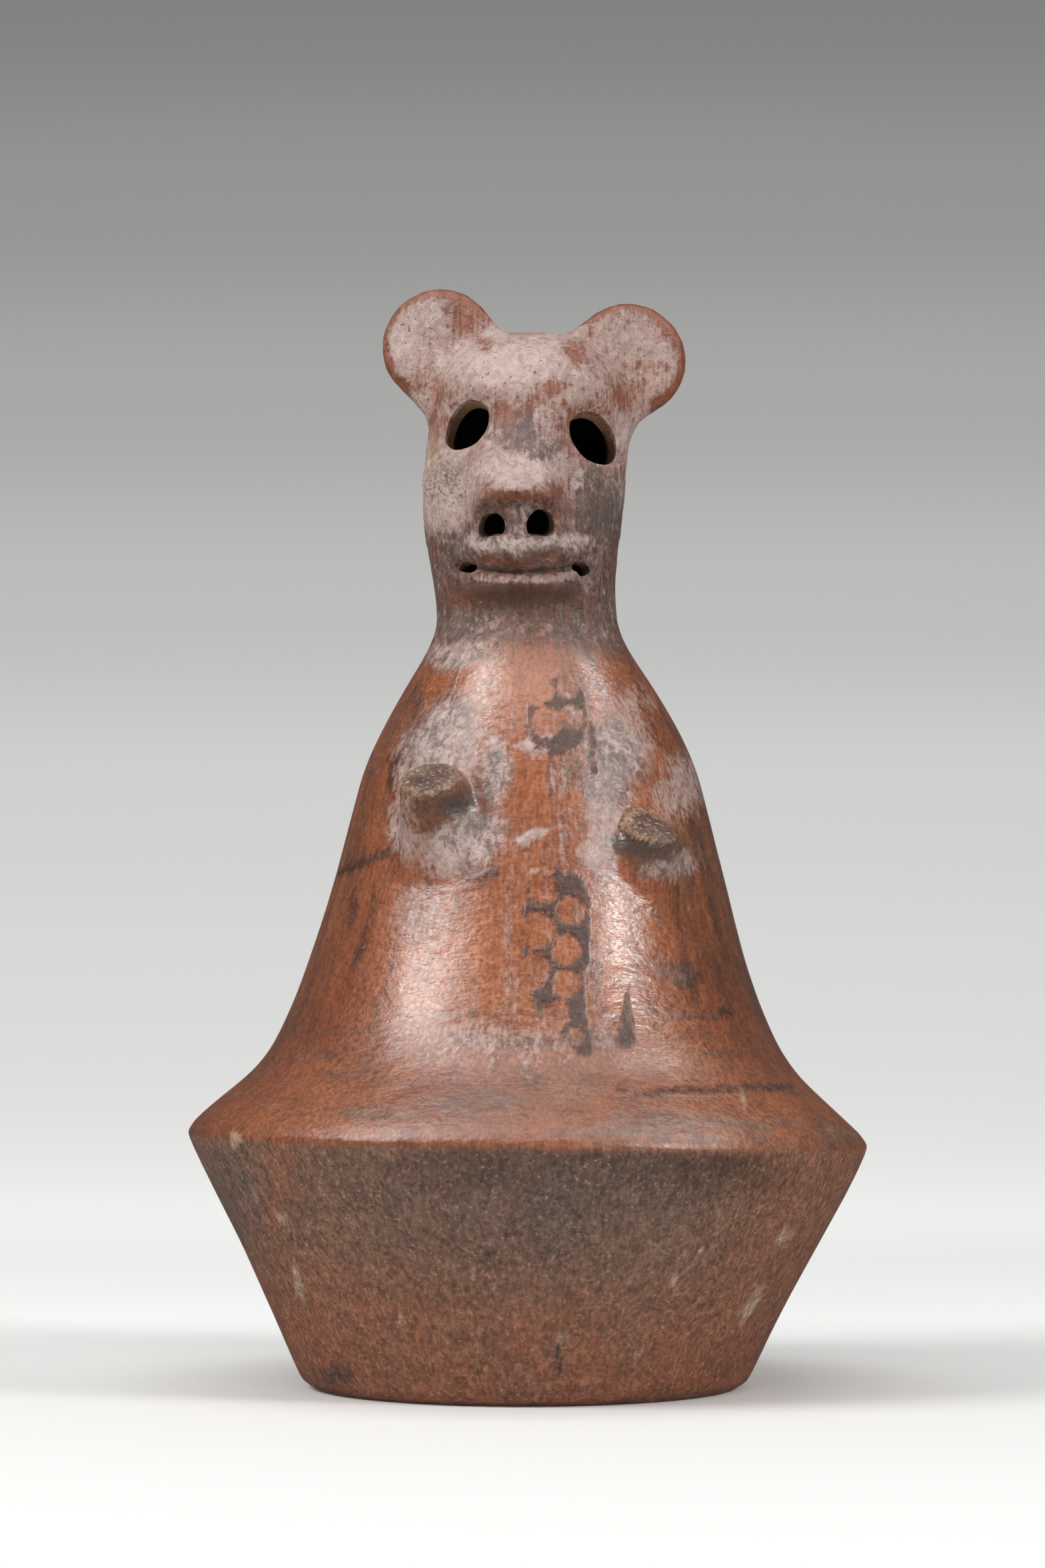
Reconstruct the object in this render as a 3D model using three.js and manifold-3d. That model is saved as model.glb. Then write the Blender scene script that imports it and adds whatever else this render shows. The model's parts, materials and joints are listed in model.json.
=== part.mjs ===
// A hand-built earthenware effigy vessel: a bell-shaped body on a carinated base, with a pierced animal head,
// two round ears and the stumps of two broken forelimbs. It is one hollow piece of fired clay.
// Millimetres, +Z up. The origin is the middle of the underside, and the face looks along -Y.
import * as THREE from "three";
import { mergeVertices } from "three/addons/utils/BufferGeometryUtils.js";
import Module from "manifold-3d";

const wasm = await Module();
wasm.setup();

// Driving dimensions
const wall = 4.8; // thickness of the clay, square to its surface
const floorThickness = 7;
const baseFlatRadius = 47;

// Half-section of the outside: height, radius and how fast the radius grows with height, at each change of curve.
// rows is the number of facet rings from this station up to the next.
const stations = [
  { z: 0, r: baseFlatRadius, slope: 2.4, rows: 2 },
  { z: 3.2, r: 51.1, slope: 0.5, rows: 3 },
  { z: 51, r: 74.7, slope: 0.46, rows: 4 }, // under the carination
  { z: 57.4, r: 74.1, slope: -1.05, rows: 2 }, // above the carination
  { z: 68.3, r: 63.4, slope: -1.06, rows: 4 }, // foot of the bell
  { z: 80.4, r: 55.2, slope: -0.46, rows: 3 },
  { z: 101.5, r: 47.6, slope: -0.29, rows: 4 },
  { z: 135, r: 38.8, slope: -0.28, rows: 5 }, // start of the shoulder
  { z: 159.4, r: 26.8, slope: -0.63, rows: 5 },
  { z: 173.5, r: 20.4, slope: -0.05, rows: 10 }, // narrowest of the neck
  { z: 203, r: 23.2, slope: 0.02, rows: 5 },
  { z: 218, r: 23.3, slope: 0, rows: 8 }, // spring of the skull's dome
];
const skullSpring = stations.at(-1);
const skullTop = 239.2;
const skullRoundness = 2.4; // power of the dome's superellipse: 2 is a plain ellipse

// The carination isn't level: it stands this much higher at -X than at +X for each mm across.
const carination = { height: 56, tilt: 0.021, fade: 16 };
// The bell leans a little towards +X around this height.
const lean = { height: 138, reach: 0.9, fade: 42 };

// Face, as forward reach from the round of the head
const muzzle = { x: -0.4, z: 187, width: 20, height: 17.5, reach: 8 };
const snout = { x: -1.8, z: 192, width: 9.8, above: 8, below: 12, reach: 3.6, boxiness: 2.5 };
const snoutBrim = { reach: 1.2, height: 6, thickness: 2.2 };

// Ears, as outlines seen from the front (x, z): a round lobe that runs by a straight edge and two fillets
// into the side and the crown of the skull. They are one thickness, with round rims, swept back outwards.
const ears = [
  {
    lobe: { x: -20, z: 236.6, radius: 13.1, from: 37, to: 215 },
    crown: [-3, 239.1],
    crownFillet: [-6.4, 239.6],
    cheek: [-22.4, 216.5],
    cheekFillet: [-22.5, 221.8],
    edgeEnd: [-25.2, 224.1],
    inside: [[-7, 207], [6, 228], [5, 238.2]],
    cheekFoot: [-20.8, 207],
  },
  {
    lobe: { x: 23.9, z: 233.5, radius: 13, from: 112, to: -14 },
    crown: [4, 239.2],
    crownFillet: [9.4, 239.9],
    cheek: [24, 215.5],
    cheekFillet: [24.3, 219.4],
    edgeEnd: [27.4, 222.3],
    inside: [[8, 206], [-5, 228], [-4, 238.2]],
    cheekFoot: [22.2, 206],
  },
];
const ear = { thickness: 7.4, rimRound: 2.9, middle: -3.2, sweep: 0.2 };

// Pierced holes: centre as seen from the front, half-sizes, roll of the long half-size from +X towards +Z,
// and the way the tool came in: turn about +Z from -Y towards +X, and rise above the level.
const holes = [
  { x: -12.9, z: 214.2, long: 6.6, short: 4.9, roll: 57, turn: -19, rise: 9 },
  { x: 14.2, z: 211.9, long: 5.9, short: 4.6, roll: -60, turn: 19, rise: 9 },
  { x: -7.2, z: 190.2, long: 2.8, short: 2.3, roll: -20, turn: -8, rise: -12 },
  { x: 3.4, z: 190.4, long: 2.9, short: 2.6, roll: 70, turn: 8, rise: -12 },
  { x: -12.6, z: 182.5, long: 2.3, short: 1.4, roll: -8, turn: -22, rise: 0 },
  { x: 11.6, z: 182.1, long: 1.9, short: 1.7, roll: 10, turn: 22, rise: 0 },
];
const mouth = { z: 178.9, halfWidth: 12.2, cornerRise: 3.3, halfGape: 1.75 };

// Stumps of the forelimbs: root on the body, the way the limb pointed, and its broken end
const stumps = [
  { root: [-18.4, -36.6, 126.9], toward: [-0.2, -0.62, 0.76], length: 8.4, rootRadius: 8.4, endRadius: 7.1 },
  { root: [25, -34.7, 119.6], toward: [0.15, -0.8, 0.58], length: 6.4, rootRadius: 7.2, endRadius: 6 },
];

// Facets round the vessel, crowded towards the face
const outerSides = 48;
const innerSides = 30;
const crowding = 0.3;

const clay = new THREE.MeshStandardMaterial({ color: 0x8f5238, roughness: 0.55, metalness: 0 });

const degrees = THREE.MathUtils.degToRad;
const smooth = THREE.MathUtils.smoothstep;

// Cubic Hermite through the stations: the outside radius and its slope at a height below the dome.
function halfSection(z) {
  const next = stations.findIndex((s, i) => i > 0 && z <= s.z);
  const b = stations[next === -1 ? stations.length - 1 : next];
  const a = stations[stations.indexOf(b) - 1];
  const span = b.z - a.z;
  const t = (z - a.z) / span;
  const r =
    a.r * (1 + 2 * t) * (1 - t) ** 2 +
    a.slope * span * t * (1 - t) ** 2 +
    b.r * t * t * (3 - 2 * t) +
    b.slope * span * t * t * (t - 1);
  const slope =
    ((b.r - a.r) * 6 * t * (1 - t)) / span + a.slope * (1 - t) * (1 - 3 * t) + b.slope * t * (3 * t - 2);
  return { r, slope };
}

// A quarter superellipse from the spring of the dome to its crown, set in by the given thickness.
function domePoints(inset, rows) {
  const points = [];
  for (let i = 1; i <= rows; i++) {
    const angle = (Math.PI / 2) * (i / rows);
    const r = (skullSpring.r - inset) * Math.cos(angle) ** (2 / skullRoundness);
    const rise = (skullTop - skullSpring.z - inset) * Math.sin(angle) ** (2 / skullRoundness);
    points.push(new THREE.Vector2(i === rows ? 0 : r, skullSpring.z + rise));
  }
  return points;
}

function outsidePoints() {
  const points = [new THREE.Vector2(0, 0)];
  stations.slice(0, -1).forEach((station, i) => {
    const span = stations[i + 1].z - station.z;
    for (let k = 0; k < station.rows; k++) {
      const z = station.z + (span * k) / station.rows;
      points.push(new THREE.Vector2(halfSection(z).r, z));
    }
  });
  points.push(new THREE.Vector2(skullSpring.r, skullSpring.z));
  return [...points, ...domePoints(0, skullSpring.rows)];
}

// The hollow follows the outside at the wall's thickness, measured square to the slope.
function hollowPoints() {
  const steps = 22;
  const points = [new THREE.Vector2(0, floorThickness)];
  for (let i = 0; i <= steps; i++) {
    const z = floorThickness + ((skullSpring.z - floorThickness) * i) / steps;
    const { r, slope } = halfSection(z);
    points.push(new THREE.Vector2(r - wall * Math.hypot(1, slope), z));
  }
  return [...points, ...domePoints(wall, 5)];
}

// Forward reach of the face at a place seen from the front: a soft muzzle that carries a flat, boxy snout
// with a brim along its upper edge.
function faceReach(x, z) {
  const far = Math.hypot((x - muzzle.x) / muzzle.width, (z - muzzle.z) / muzzle.height);
  const swell = far < 1 ? muzzle.reach * (1 - far * far) ** 2 : 0;
  const across = Math.abs(x - snout.x) / snout.width;
  const up = (z - snout.z) / (z > snout.z ? snout.above : snout.below);
  const edge = (across ** snout.boxiness + Math.abs(up) ** snout.boxiness) ** (1 / snout.boxiness);
  const block = 1 - smooth(edge, 0.72, 1.3);
  const brimLine = (z - snout.z - snoutBrim.height + 2 * across * across) / snoutBrim.thickness;
  const brim = snoutBrim.reach * Math.exp(-brimLine * brimLine) * (1 - smooth(across, 0.7, 1.15));
  return swell + snout.reach * block + brim;
}

// Unevenness of the hand-built form: the tilted carination and the leaning bell.
function handBuilt(point) {
  const fromRim = (point.z - carination.height) / carination.fade;
  const fromBell = (point.z - lean.height) / lean.fade;
  point.z -= carination.tilt * point.x * Math.exp(-fromRim * fromRim);
  point.x += lean.reach * Math.exp(-fromBell * fromBell * fromBell * fromBell);
  return point;
}

// Turns a half-section into a closed surface about +Z and passes each point through a shaping function.
function turned(points, sides, shape) {
  const geometry = new THREE.LatheGeometry(points, sides).rotateX(Math.PI / 2);
  const position = geometry.getAttribute("position");
  const point = new THREE.Vector3();
  for (let i = 0; i < position.count; i++) {
    point.fromBufferAttribute(position, i);
    const radius = Math.hypot(point.x, point.y);
    const angle = Math.atan2(point.x, -point.y);
    const crowded = angle - crowding * Math.sin(angle);
    point.set(radius * Math.sin(crowded), -radius * Math.cos(crowded), point.z);
    shape(point);
    position.setXYZ(i, point.x, point.y, point.z);
  }
  return geometry;
}

// A closed geometry as a solid, for joining and cutting.
function solidOf(geometry) {
  const bare = new THREE.BufferGeometry();
  bare.setAttribute("position", geometry.getAttribute("position"));
  if (geometry.index) bare.setIndex(geometry.index);
  const merged = mergeVertices(bare, 1e-4);
  const corners = merged.index.array;
  const triVerts = [];
  for (let i = 0; i < corners.length; i += 3) {
    const [a, b, c] = corners.slice(i, i + 3);
    if (a !== b && b !== c && c !== a) triVerts.push(a, b, c);
  }
  const vertProperties = merged.attributes.position.array;
  const mesh = new wasm.Mesh({ numProp: 3, vertProperties, triVerts: new Uint32Array(triVerts) });
  return new wasm.Manifold(mesh);
}

function geometryOf(solid) {
  const { vertProperties, triVerts } = solid.getMesh();
  const geometry = new THREE.BufferGeometry();
  geometry.setAttribute("position", new THREE.BufferAttribute(vertProperties, 3));
  geometry.setIndex(new THREE.BufferAttribute(triVerts, 1));
  geometry.computeVertexNormals();
  return geometry;
}

// Where the front of the head or body lies, seen from the front at x and z.
function frontOf(x, z) {
  const { r } = halfSection(z);
  return -Math.sqrt(Math.max(r * r - x * x, 0)) - faceReach(x, z);
}

function outsideSolid() {
  return solidOf(
    turned(outsidePoints(), outerSides, (point) => {
      const reach = point.y < 0 ? faceReach(point.x, point.z) : 0;
      point.y -= reach * smooth(-point.y, 0, 8);
      handBuilt(point);
    }),
  );
}

const hollowSolid = () => solidOf(turned(hollowPoints(), innerSides, handBuilt));

// An ear is its outline given thickness, with a rounded rim. Its inner part lies within the skull.
function earSolid({ lobe, crown, crownFillet, cheek, cheekFillet, edgeEnd, cheekFoot, inside }) {
  const outline = new THREE.Shape();
  const clockwise = lobe.from > 90;
  const start = degrees(lobe.from);
  outline.moveTo(...inside[0]);
  for (const corner of [...inside.slice(1), crown]) outline.lineTo(...corner);
  outline.quadraticCurveTo(
    ...crownFillet,
    lobe.x + lobe.radius * Math.cos(start),
    lobe.z + lobe.radius * Math.sin(start),
  );
  outline.absarc(lobe.x, lobe.z, lobe.radius, start, degrees(lobe.to), clockwise);
  outline.lineTo(...edgeEnd);
  outline.quadraticCurveTo(...cheekFillet, ...cheek);
  outline.lineTo(...cheekFoot);
  const round = ear.rimRound;
  const corners = outline.getPoints(8).filter((p, i, all) => i === 0 || p.distanceTo(all[i - 1]) > 0.1);
  const sheet = new THREE.ExtrudeGeometry(new THREE.Shape(corners), {
    depth: ear.thickness - 2 * round,
    bevelThickness: round,
    bevelSize: round,
    bevelOffset: -round,
    bevelSegments: 2,
  });
  sheet.rotateX(Math.PI / 2).translate(0, ear.middle + ear.thickness / 2 - round, 0);
  const position = sheet.getAttribute("position");
  for (let i = 0; i < position.count; i++) {
    const outward = Math.max(Math.abs(position.getX(i)) - 8, 0);
    position.setY(i, position.getY(i) + ear.sweep * outward);
  }
  return solidOf(sheet);
}

// A stump is a short tapering limb, sunk into the body, with a flared root and a flat broken end.
function stumpSolid({ root, toward, length, rootRadius, endRadius }) {
  const sunk = 5;
  const profile = [
    new THREE.Vector2(0, -sunk),
    new THREE.Vector2(rootRadius * 1.25, -sunk),
    new THREE.Vector2(rootRadius, 2),
    new THREE.Vector2((rootRadius + endRadius) / 2, length * 0.55),
    new THREE.Vector2(endRadius, length - 1),
    new THREE.Vector2(endRadius - 1, length),
    new THREE.Vector2(0, length),
  ];
  const limb = new THREE.LatheGeometry(profile, 18);
  const aim = new THREE.Quaternion().setFromUnitVectors(
    new THREE.Vector3(0, 1, 0),
    new THREE.Vector3(...toward).normalize(),
  );
  limb.applyQuaternion(aim).translate(...root);
  return solidOf(limb);
}

// A pierced hole is a straight oval prism from outside the face into the hollow.
function holeSolid({ x, z, long, short, roll, turn, rise }) {
  const outline = new THREE.Shape().absellipse(0, 0, long, short, 0, 2 * Math.PI, false, degrees(roll));
  const outside = 12;
  const depth = 34;
  const prism = new THREE.ExtrudeGeometry(outline, { depth, bevelEnabled: false, curveSegments: 9 });
  prism.translate(0, 0, outside - depth);
  prism.rotateX(Math.PI / 2 - degrees(rise));
  prism.rotateZ(degrees(turn)).translate(x, frontOf(x, z), z);
  return solidOf(prism);
}

// The mouth is a round-bottomed groove between its two corner holes, turned up at the ends.
function mouthSolid() {
  const line = [];
  const bends = 6;
  for (let i = -bends; i <= bends; i++) {
    const share = i / bends;
    const x = share * mouth.halfWidth;
    const z = mouth.z + mouth.cornerRise * share * share;
    line.push(new THREE.Vector3(x, frontOf(x, z), z));
  }
  const section = new THREE.Shape().absarc(0, 0, mouth.halfGape, 0, 2 * Math.PI);
  const extrudePath = new THREE.CatmullRomCurve3(line);
  return solidOf(new THREE.ExtrudeGeometry(section, { extrudePath, steps: 14, curveSegments: 5 }));
}

function vesselSolid() {
  let solid = outsideSolid();
  for (const one of ears) solid = solid.add(earSolid(one));
  for (const one of stumps) solid = solid.add(stumpSolid(one));
  solid = solid.subtract(hollowSolid());
  for (const one of holes) solid = solid.subtract(holeSolid(one));
  return solid.subtract(mouthSolid());
}

const vessel = new THREE.Mesh(geometryOf(vesselSolid()), clay);
vessel.name = "vessel";

const effigyVessel = new THREE.Group();
effigyVessel.add(vessel);
export default effigyVessel;
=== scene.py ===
import json
import math

import bpy
import numpy as np
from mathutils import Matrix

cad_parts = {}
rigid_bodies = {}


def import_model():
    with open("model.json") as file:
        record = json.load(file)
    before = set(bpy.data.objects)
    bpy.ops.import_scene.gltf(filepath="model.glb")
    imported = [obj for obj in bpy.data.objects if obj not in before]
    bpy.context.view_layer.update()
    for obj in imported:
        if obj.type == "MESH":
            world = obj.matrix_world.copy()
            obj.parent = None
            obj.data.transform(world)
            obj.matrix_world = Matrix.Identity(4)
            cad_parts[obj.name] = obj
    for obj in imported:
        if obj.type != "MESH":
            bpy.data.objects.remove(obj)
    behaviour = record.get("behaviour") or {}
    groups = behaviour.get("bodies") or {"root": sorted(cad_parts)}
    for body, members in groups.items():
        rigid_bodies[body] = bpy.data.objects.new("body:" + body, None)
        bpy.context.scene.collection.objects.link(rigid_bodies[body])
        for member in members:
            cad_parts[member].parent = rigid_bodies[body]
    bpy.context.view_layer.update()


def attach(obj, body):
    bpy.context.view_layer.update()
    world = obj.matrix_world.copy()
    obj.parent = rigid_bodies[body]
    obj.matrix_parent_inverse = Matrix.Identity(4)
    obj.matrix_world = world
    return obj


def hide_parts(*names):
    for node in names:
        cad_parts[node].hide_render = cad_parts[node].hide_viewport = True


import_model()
print("stage 1: frame loaded")

mm = 0.001  # shapes below are worked out in millimetres

# Camera as worked out from the photograph: place, upward pitch, focal length and frame in pixels, and pixels
# to a millimetre at the vessel
view = dict(
    x=-0.75, distance=760.0, height=71.8, pitch=4.795,
    focal=5017.0, width=1568, tall=2352, perMm=6.57,
)

form = dict(
    heights=(0, 3.2, 19.4, 34, 51.5, 54.5, 55.5, 56.5, 58.4, 68.3, 80.4, 101.5, 135, 159.4, 173.5, 203, 218),
    radii=(47, 50.8, 58.5, 65.9, 74.9, 76.15, 76.2, 75.75, 74.35, 63.6, 55.2, 47.6, 38.8, 26.8, 20.4,
           23.2, 23.3),
    slopes=(2.4, 0.5, 0.49, 0.53, 0.46, 0.3, -0.25, -0.68, -0.95, -1.07, -0.46, -0.29, -0.28, -0.63,
            -0.05, 0.02, 0),
    skullTop=239.2,
    skullRound=2.4,
    wall=4.8,
    floor=7.0,
    rimHeight=56.0,
    rimTilt=0.021,
    rimFade=16.0,
    domeScale=21.0,
    footRound=1.6,
)

face = dict(
    # forward reach of the profile down the middle, from the neck to the brow
    heights=(168, 171, 174.3, 176, 177.1, 177.9, 179.5, 180.6, 181.2, 181.9, 182.8, 184.6, 186.5, 188.5,
             190.4, 193.5, 195.3, 196.3, 197.2, 198.3, 199.2, 200.1, 203, 207, 211, 215, 220),
    reach=(0, 0.2, 1.2, 2.8, 4.8, 5.3, 4.5, 2.8, 2.9, 5.0, 6.4, 7.8, 8.4, 8.2,
           7.9, 7.8, 7.9, 9.4, 10.0, 10.0, 9.2, 7.4, 5.4, 3.7, 1.8, 0.6, 0),
    halfHeights=(168, 176, 182, 186, 189, 192, 198, 201, 206, 212, 220),
    halfWidths=(12.5, 12.5, 13, 12, 10.4, 9.6, 9.2, 9.6, 10.5, 10, 10),
    plateaus=(0.6, 0.6, 0.6, 0.65, 0.76, 0.82, 0.84, 0.7, 0.45, 0.4, 0.4),
    middle=-2.0,
    mouthMiddle=-0.7,
    swell=4.4,
    swellWidth=14.5,
    swellHeight=188.0,
    swellTall=10.5,
    archDrop=2.0,
    archWidth=8.8,
    socket=0.8,
    socketSpread=8.0,
    # heights between which each form comes in and goes out, and the depth at which the face begins
    snoutBand=(185, 191, 203, 215),
    archBand=(191, 195.5, 202, 209),
    band=(165, 170, 219, 224),
    start=(1, 9),
)

mouth = dict(cornerRise=2.2, halfWidth=13.0, band=(178.4, 180.6, 184, 189))

# Sideways leans of the axis: amount, height and spread of each
lean = dict(
    wall=1.1, wallHeight=36, wallSpread=18,
    bell=0.9, bellHeight=138, bellSpread=42,
    neck=0.7, neckHeight=190, neckSpread=14,
    skull=1.5, skullBand=(205, 224),
)

# Pierced holes: middle as seen from the front, radii of the outline every 45 degrees from the right, going
# up, then turn towards +X and rise of the tool in degrees, and its reach into the clay
holes = (
    dict(x=-13.3, z=215.2, radii=(4.8, 5.8, 5.7, 4.7, 4.9, 6.3, 5.4, 4.6), turn=-19, rise=9, reach=16),
    dict(x=15.3, z=212.2, radii=(5.7, 5.6, 6.1, 6.4, 5.1, 4.7, 5.4, 6.4), turn=19, rise=6, reach=16),
    dict(x=-7.6, z=190.7, radii=(2.9, 2.7, 2.55, 2.8, 3.0, 3.4, 2.5, 3.2), turn=-14, rise=-12, reach=24),
    dict(x=3.2, z=190.8, radii=(3.0, 3.3, 3.2, 2.8, 3.0, 3.5, 3.0, 3.5), turn=10, rise=-12, reach=24),
    dict(x=-13.0, z=182.7, radii=(2.1, 1.1, 1.1, 1.6, 2.1, 1.3, 1.2, 1.7), turn=-20, rise=0, reach=13),
    dict(x=12.4, z=182.4, radii=(2.1, 1.9, 1.6, 1.9, 2.0, 1.3, 1.7, 1.7), turn=20, rise=0, reach=13),
)

# A hole's rounded edge, the flare and roughness of its walls, and the points and rings of its cutter
piercing = dict(
    edge=0.7, edgeSpread=0.9, flare=0.02, rough=0.1, roughSize=1.5,
    outside=7.0, around=48, rings=30,
)

ears = dict(
    lobeX=(-20.0, 23.9),
    lobeZ=(236.6, 233.5),
    lobeRadius=(13.1, 13.0),
    rootX=(-10.5, 11.0),
    rootZ=(225.6, 224.0),
    rootRadius=(12.4, 12.2),
    middle=-3.0,
    sweep=0.16,
    half=3.7,
    edge=3.0,
    dish=1.2,
    blend=2.2,
    frontBlend=5.0,
    dishSpread=8.5,
    sweepFrom=8.0,
    # angles over which the rows run round each lobe, and how squarely they fill its thickness
    turns=((232, 38), (-52, 122)),
    fill=0.62,
)

stumps = (
    dict(root=(-18.9, -36.6, 126.3), aim=(-0.2, -0.5, 0.83), length=8.6,
         rootRadius=8.4, endRadius=6.8, flat=0.95, dark=0.3),
    dict(root=(26.3, -34.1, 117.7), aim=(0.16, -0.55, 0.82), length=6.6,
         rootRadius=7.2, endRadius=5.7, flat=0.95, dark=0.75),
)

# Tilt and rounding of the break, how deep a stump is buried, and its blend with the body
breaking = dict(tilt=0.12, edge=1.2, buried=9.0, blend=3.4)


# Eases from 0 at low to 1 at high with level ends.
def ease(value, low, high):
    t = np.clip((value - low) / (high - low), 0, 1)
    return t * t * (3 - 2 * t)


# Share that eases in between the first two values of a band and out between the last two.
def within(value, band):
    return ease(value, band[0], band[1]) * (1 - ease(value, band[2], band[3]))


# Bell of height 1 at the middle that falls off as a Gaussian of the given spread.
def bell(value, middle, spread):
    return np.exp(-(((value - middle) / spread) ** 2))


# Soft oval of height 1: a Gaussian of the way from its middle, measured by its two half-sizes.
def oval(px, py, at):
    return np.exp(-(((px - at[0]) / at[2]) ** 2) - ((py - at[1]) / at[3]) ** 2)


# Cubic from a to b as t goes from 0 to 1, leaving with slope m and arriving with slope n.
def cubic(t, a, b, m, n):
    leaving = a * (1 + 2 * t) * (1 - t) ** 2 + m * t * (1 - t) ** 2
    return leaving + b * t * t * (3 - 2 * t) + n * t * t * (t - 1)


# Cubic Hermite through the stations: radius and slope at each height.
def hermite(z, heights, values, slopes):
    heights = np.asarray(heights, float)
    values = np.asarray(values, float)
    slopes = np.asarray(slopes, float)
    z = np.clip(z, heights[0], heights[-1])
    k = np.clip(np.searchsorted(heights, z, side="right") - 1, 0, len(heights) - 2)
    span = heights[k + 1] - heights[k]
    t = (z - heights[k]) / span
    a, b = values[k], values[k + 1]
    m, n = slopes[k] * span, slopes[k + 1] * span
    slope = ((b - a) * 6 * t * (1 - t) + m * (1 - t) * (1 - 3 * t) + n * t * (3 * t - 2)) / span
    return cubic(t, a, b, m, n), slope


# Smooth curve through plain stations, with each slope taken from the neighbours.
def curve(z, heights, values):
    slopes = np.gradient(np.asarray(values, float), np.asarray(heights, float))
    return hermite(z, heights, values, slopes)[0]


# Value noise in -1..1: hashed lattice corners, eased between.
def grain(x, y, z, size, seed=0):
    p = np.stack([x, y, z]) / size + 1000.5 + seed * 17.3
    cell = np.floor(p).astype(np.int64)
    t = p - cell
    t = t * t * (3 - 2 * t)
    total = np.zeros_like(x, dtype=float)
    for corner in range(8):
        step = np.array([corner & 1, corner >> 1 & 1, corner >> 2 & 1])
        c = cell + step[:, None]
        h = (c[0] * 374761393 + c[1] * 668265263 + c[2] * 1274126177 + seed * 974711) & 0xFFFFFFFF
        h = ((h ^ (h >> 13)) * 1274126177) & 0xFFFFFFFF
        h = (h ^ (h >> 16)) & 0xFFFF
        w = np.where(step[:, None] == 1, t, 1 - t).prod(axis=0)
        total += w * (h / 32767.5 - 1)
    return total


# Sum of noise octaves, each half the size and half the strength of the one before.
def cloud(x, y, z, size, octaves=3, seed=0):
    total = np.zeros_like(x, dtype=float)
    weight = 1.0
    whole = 0.0
    for k in range(octaves):
        total += weight * grain(x, y, z, size / 2**k, seed + k)
        whole += weight
        weight *= 0.55
    return total / whole * 1.5


# Sideways lean of the axis with height: bells for the wall and the neck, a flat-topped one for the body, and
# an ease for the skull. The wall and the body lean to +X, the neck back, the skull to +X again.
def leanAt(z):
    wall = lean["wall"] * bell(z, lean["wallHeight"], lean["wallSpread"])
    body = lean["bell"] * np.exp(-(((z - lean["bellHeight"]) / lean["bellSpread"]) ** 4))
    neck = lean["neck"] * bell(z, lean["neckHeight"], lean["neckSpread"])
    return wall + body - neck + lean["skull"] * ease(z, *lean["skullBand"])


# Forward reach of the face: a soft muzzle, and the rest of the profile carried to the sides and faded there.
# The brim arches, so the profile sinks with the square of the way from the middle, and the mouth's corners
# rise in the same way.
def faceReach(x, z):
    aside = face["middle"] - face["mouthMiddle"]
    dx = x - face["mouthMiddle"] - aside * within(z, face["snoutBand"])
    smile = mouth["cornerRise"] * np.clip(dx / mouth["halfWidth"], -1.3, 1.3) ** 2
    arch = face["archDrop"] * np.clip(dx / face["archWidth"], -1.4, 1.4) ** 2
    lifted = z - smile * within(z, mouth["band"]) + arch * within(z, face["archBand"])
    along = curve(lifted, face["heights"], face["reach"])
    half = curve(z, face["halfHeights"], face["halfWidths"])
    plateau = curve(z, face["halfHeights"], face["plateaus"])
    side = 1 - ease(np.abs(dx) / half, plateau, 1.2)
    tall = face["swell"] * bell(z, face["swellHeight"], face["swellTall"])
    swell = tall * bell(x, 0, face["swellWidth"])
    sockets = bell(np.hypot(x - holes[0]["x"], z - holes[0]["z"]), 0, face["socketSpread"])
    sockets += bell(np.hypot(x - holes[1]["x"], z - holes[1]["z"]), 0, face["socketSpread"])
    return swell + (along - tall) * side - face["socket"] * sockets


# Share of the face's reach: none behind the middle, under the throat or over the crown.
def faceShare(y, z):
    return ease(-y, *face["start"]) * within(z, face["band"])


# Smallest of two fields, rounded over a width where they meet.
def softMin(a, b, width):
    h = np.clip(0.5 + 0.5 * (b - a) / width, 0, 1)
    return b * (1 - h) + a * h - width * h * (1 - h)


# Distance to a flat shape of two unequal circles joined by their tangents.
def pearDistance(x, z, ax, az, ra, bx, bz, rb):
    gap = math.hypot(bx - ax, bz - az)
    ux, uz = (bx - ax) / gap, (bz - az) / gap
    along = (x - ax) * ux + (z - az) * uz
    across = np.abs((x - ax) * uz - (z - az) * ux)
    s = (ra - rb) / gap
    c = math.sqrt(1 - s * s)
    k = along * c - across * s
    near = np.hypot(across, along) - ra
    far = np.hypot(across, along - gap) - rb
    return np.where(k < 0, near, np.where(k > c * gap, far, across * c + along * s - ra))


# Distance to one ear: its flat outline given thickness, with a round rim and a dish in front.
def earField(x, y, z, k):
    flat = pearDistance(
        x, z, ears["lobeX"][k], ears["lobeZ"][k], ears["lobeRadius"][k],
        ears["rootX"][k], ears["rootZ"][k], ears["rootRadius"][k],
    )
    off = y - ears["middle"] - ears["sweep"] * np.maximum(np.abs(x) - ears["sweepFrom"], 0)
    fromLobe = np.hypot(x - ears["lobeX"][k], z - ears["lobeZ"][k])
    dish = ears["dish"] * bell(fromLobe, 0, ears["dishSpread"]) * (off < 0)
    a = flat + ears["edge"]
    b = np.abs(off) - (ears["half"] - ears["edge"]) + dish
    return np.minimum(np.maximum(a, b), 0) + np.hypot(np.maximum(a, 0), np.maximum(b, 0)) - ears["edge"]


# Axes of a stump: its aim, a level direction across it and the one square to both.
def stumpAxes(stump):
    aim = np.array(stump["aim"]) / np.linalg.norm(stump["aim"])
    across = np.cross([0, 0, 1.0], aim)
    across /= np.linalg.norm(across)
    return aim, across, np.cross(aim, across)


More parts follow.
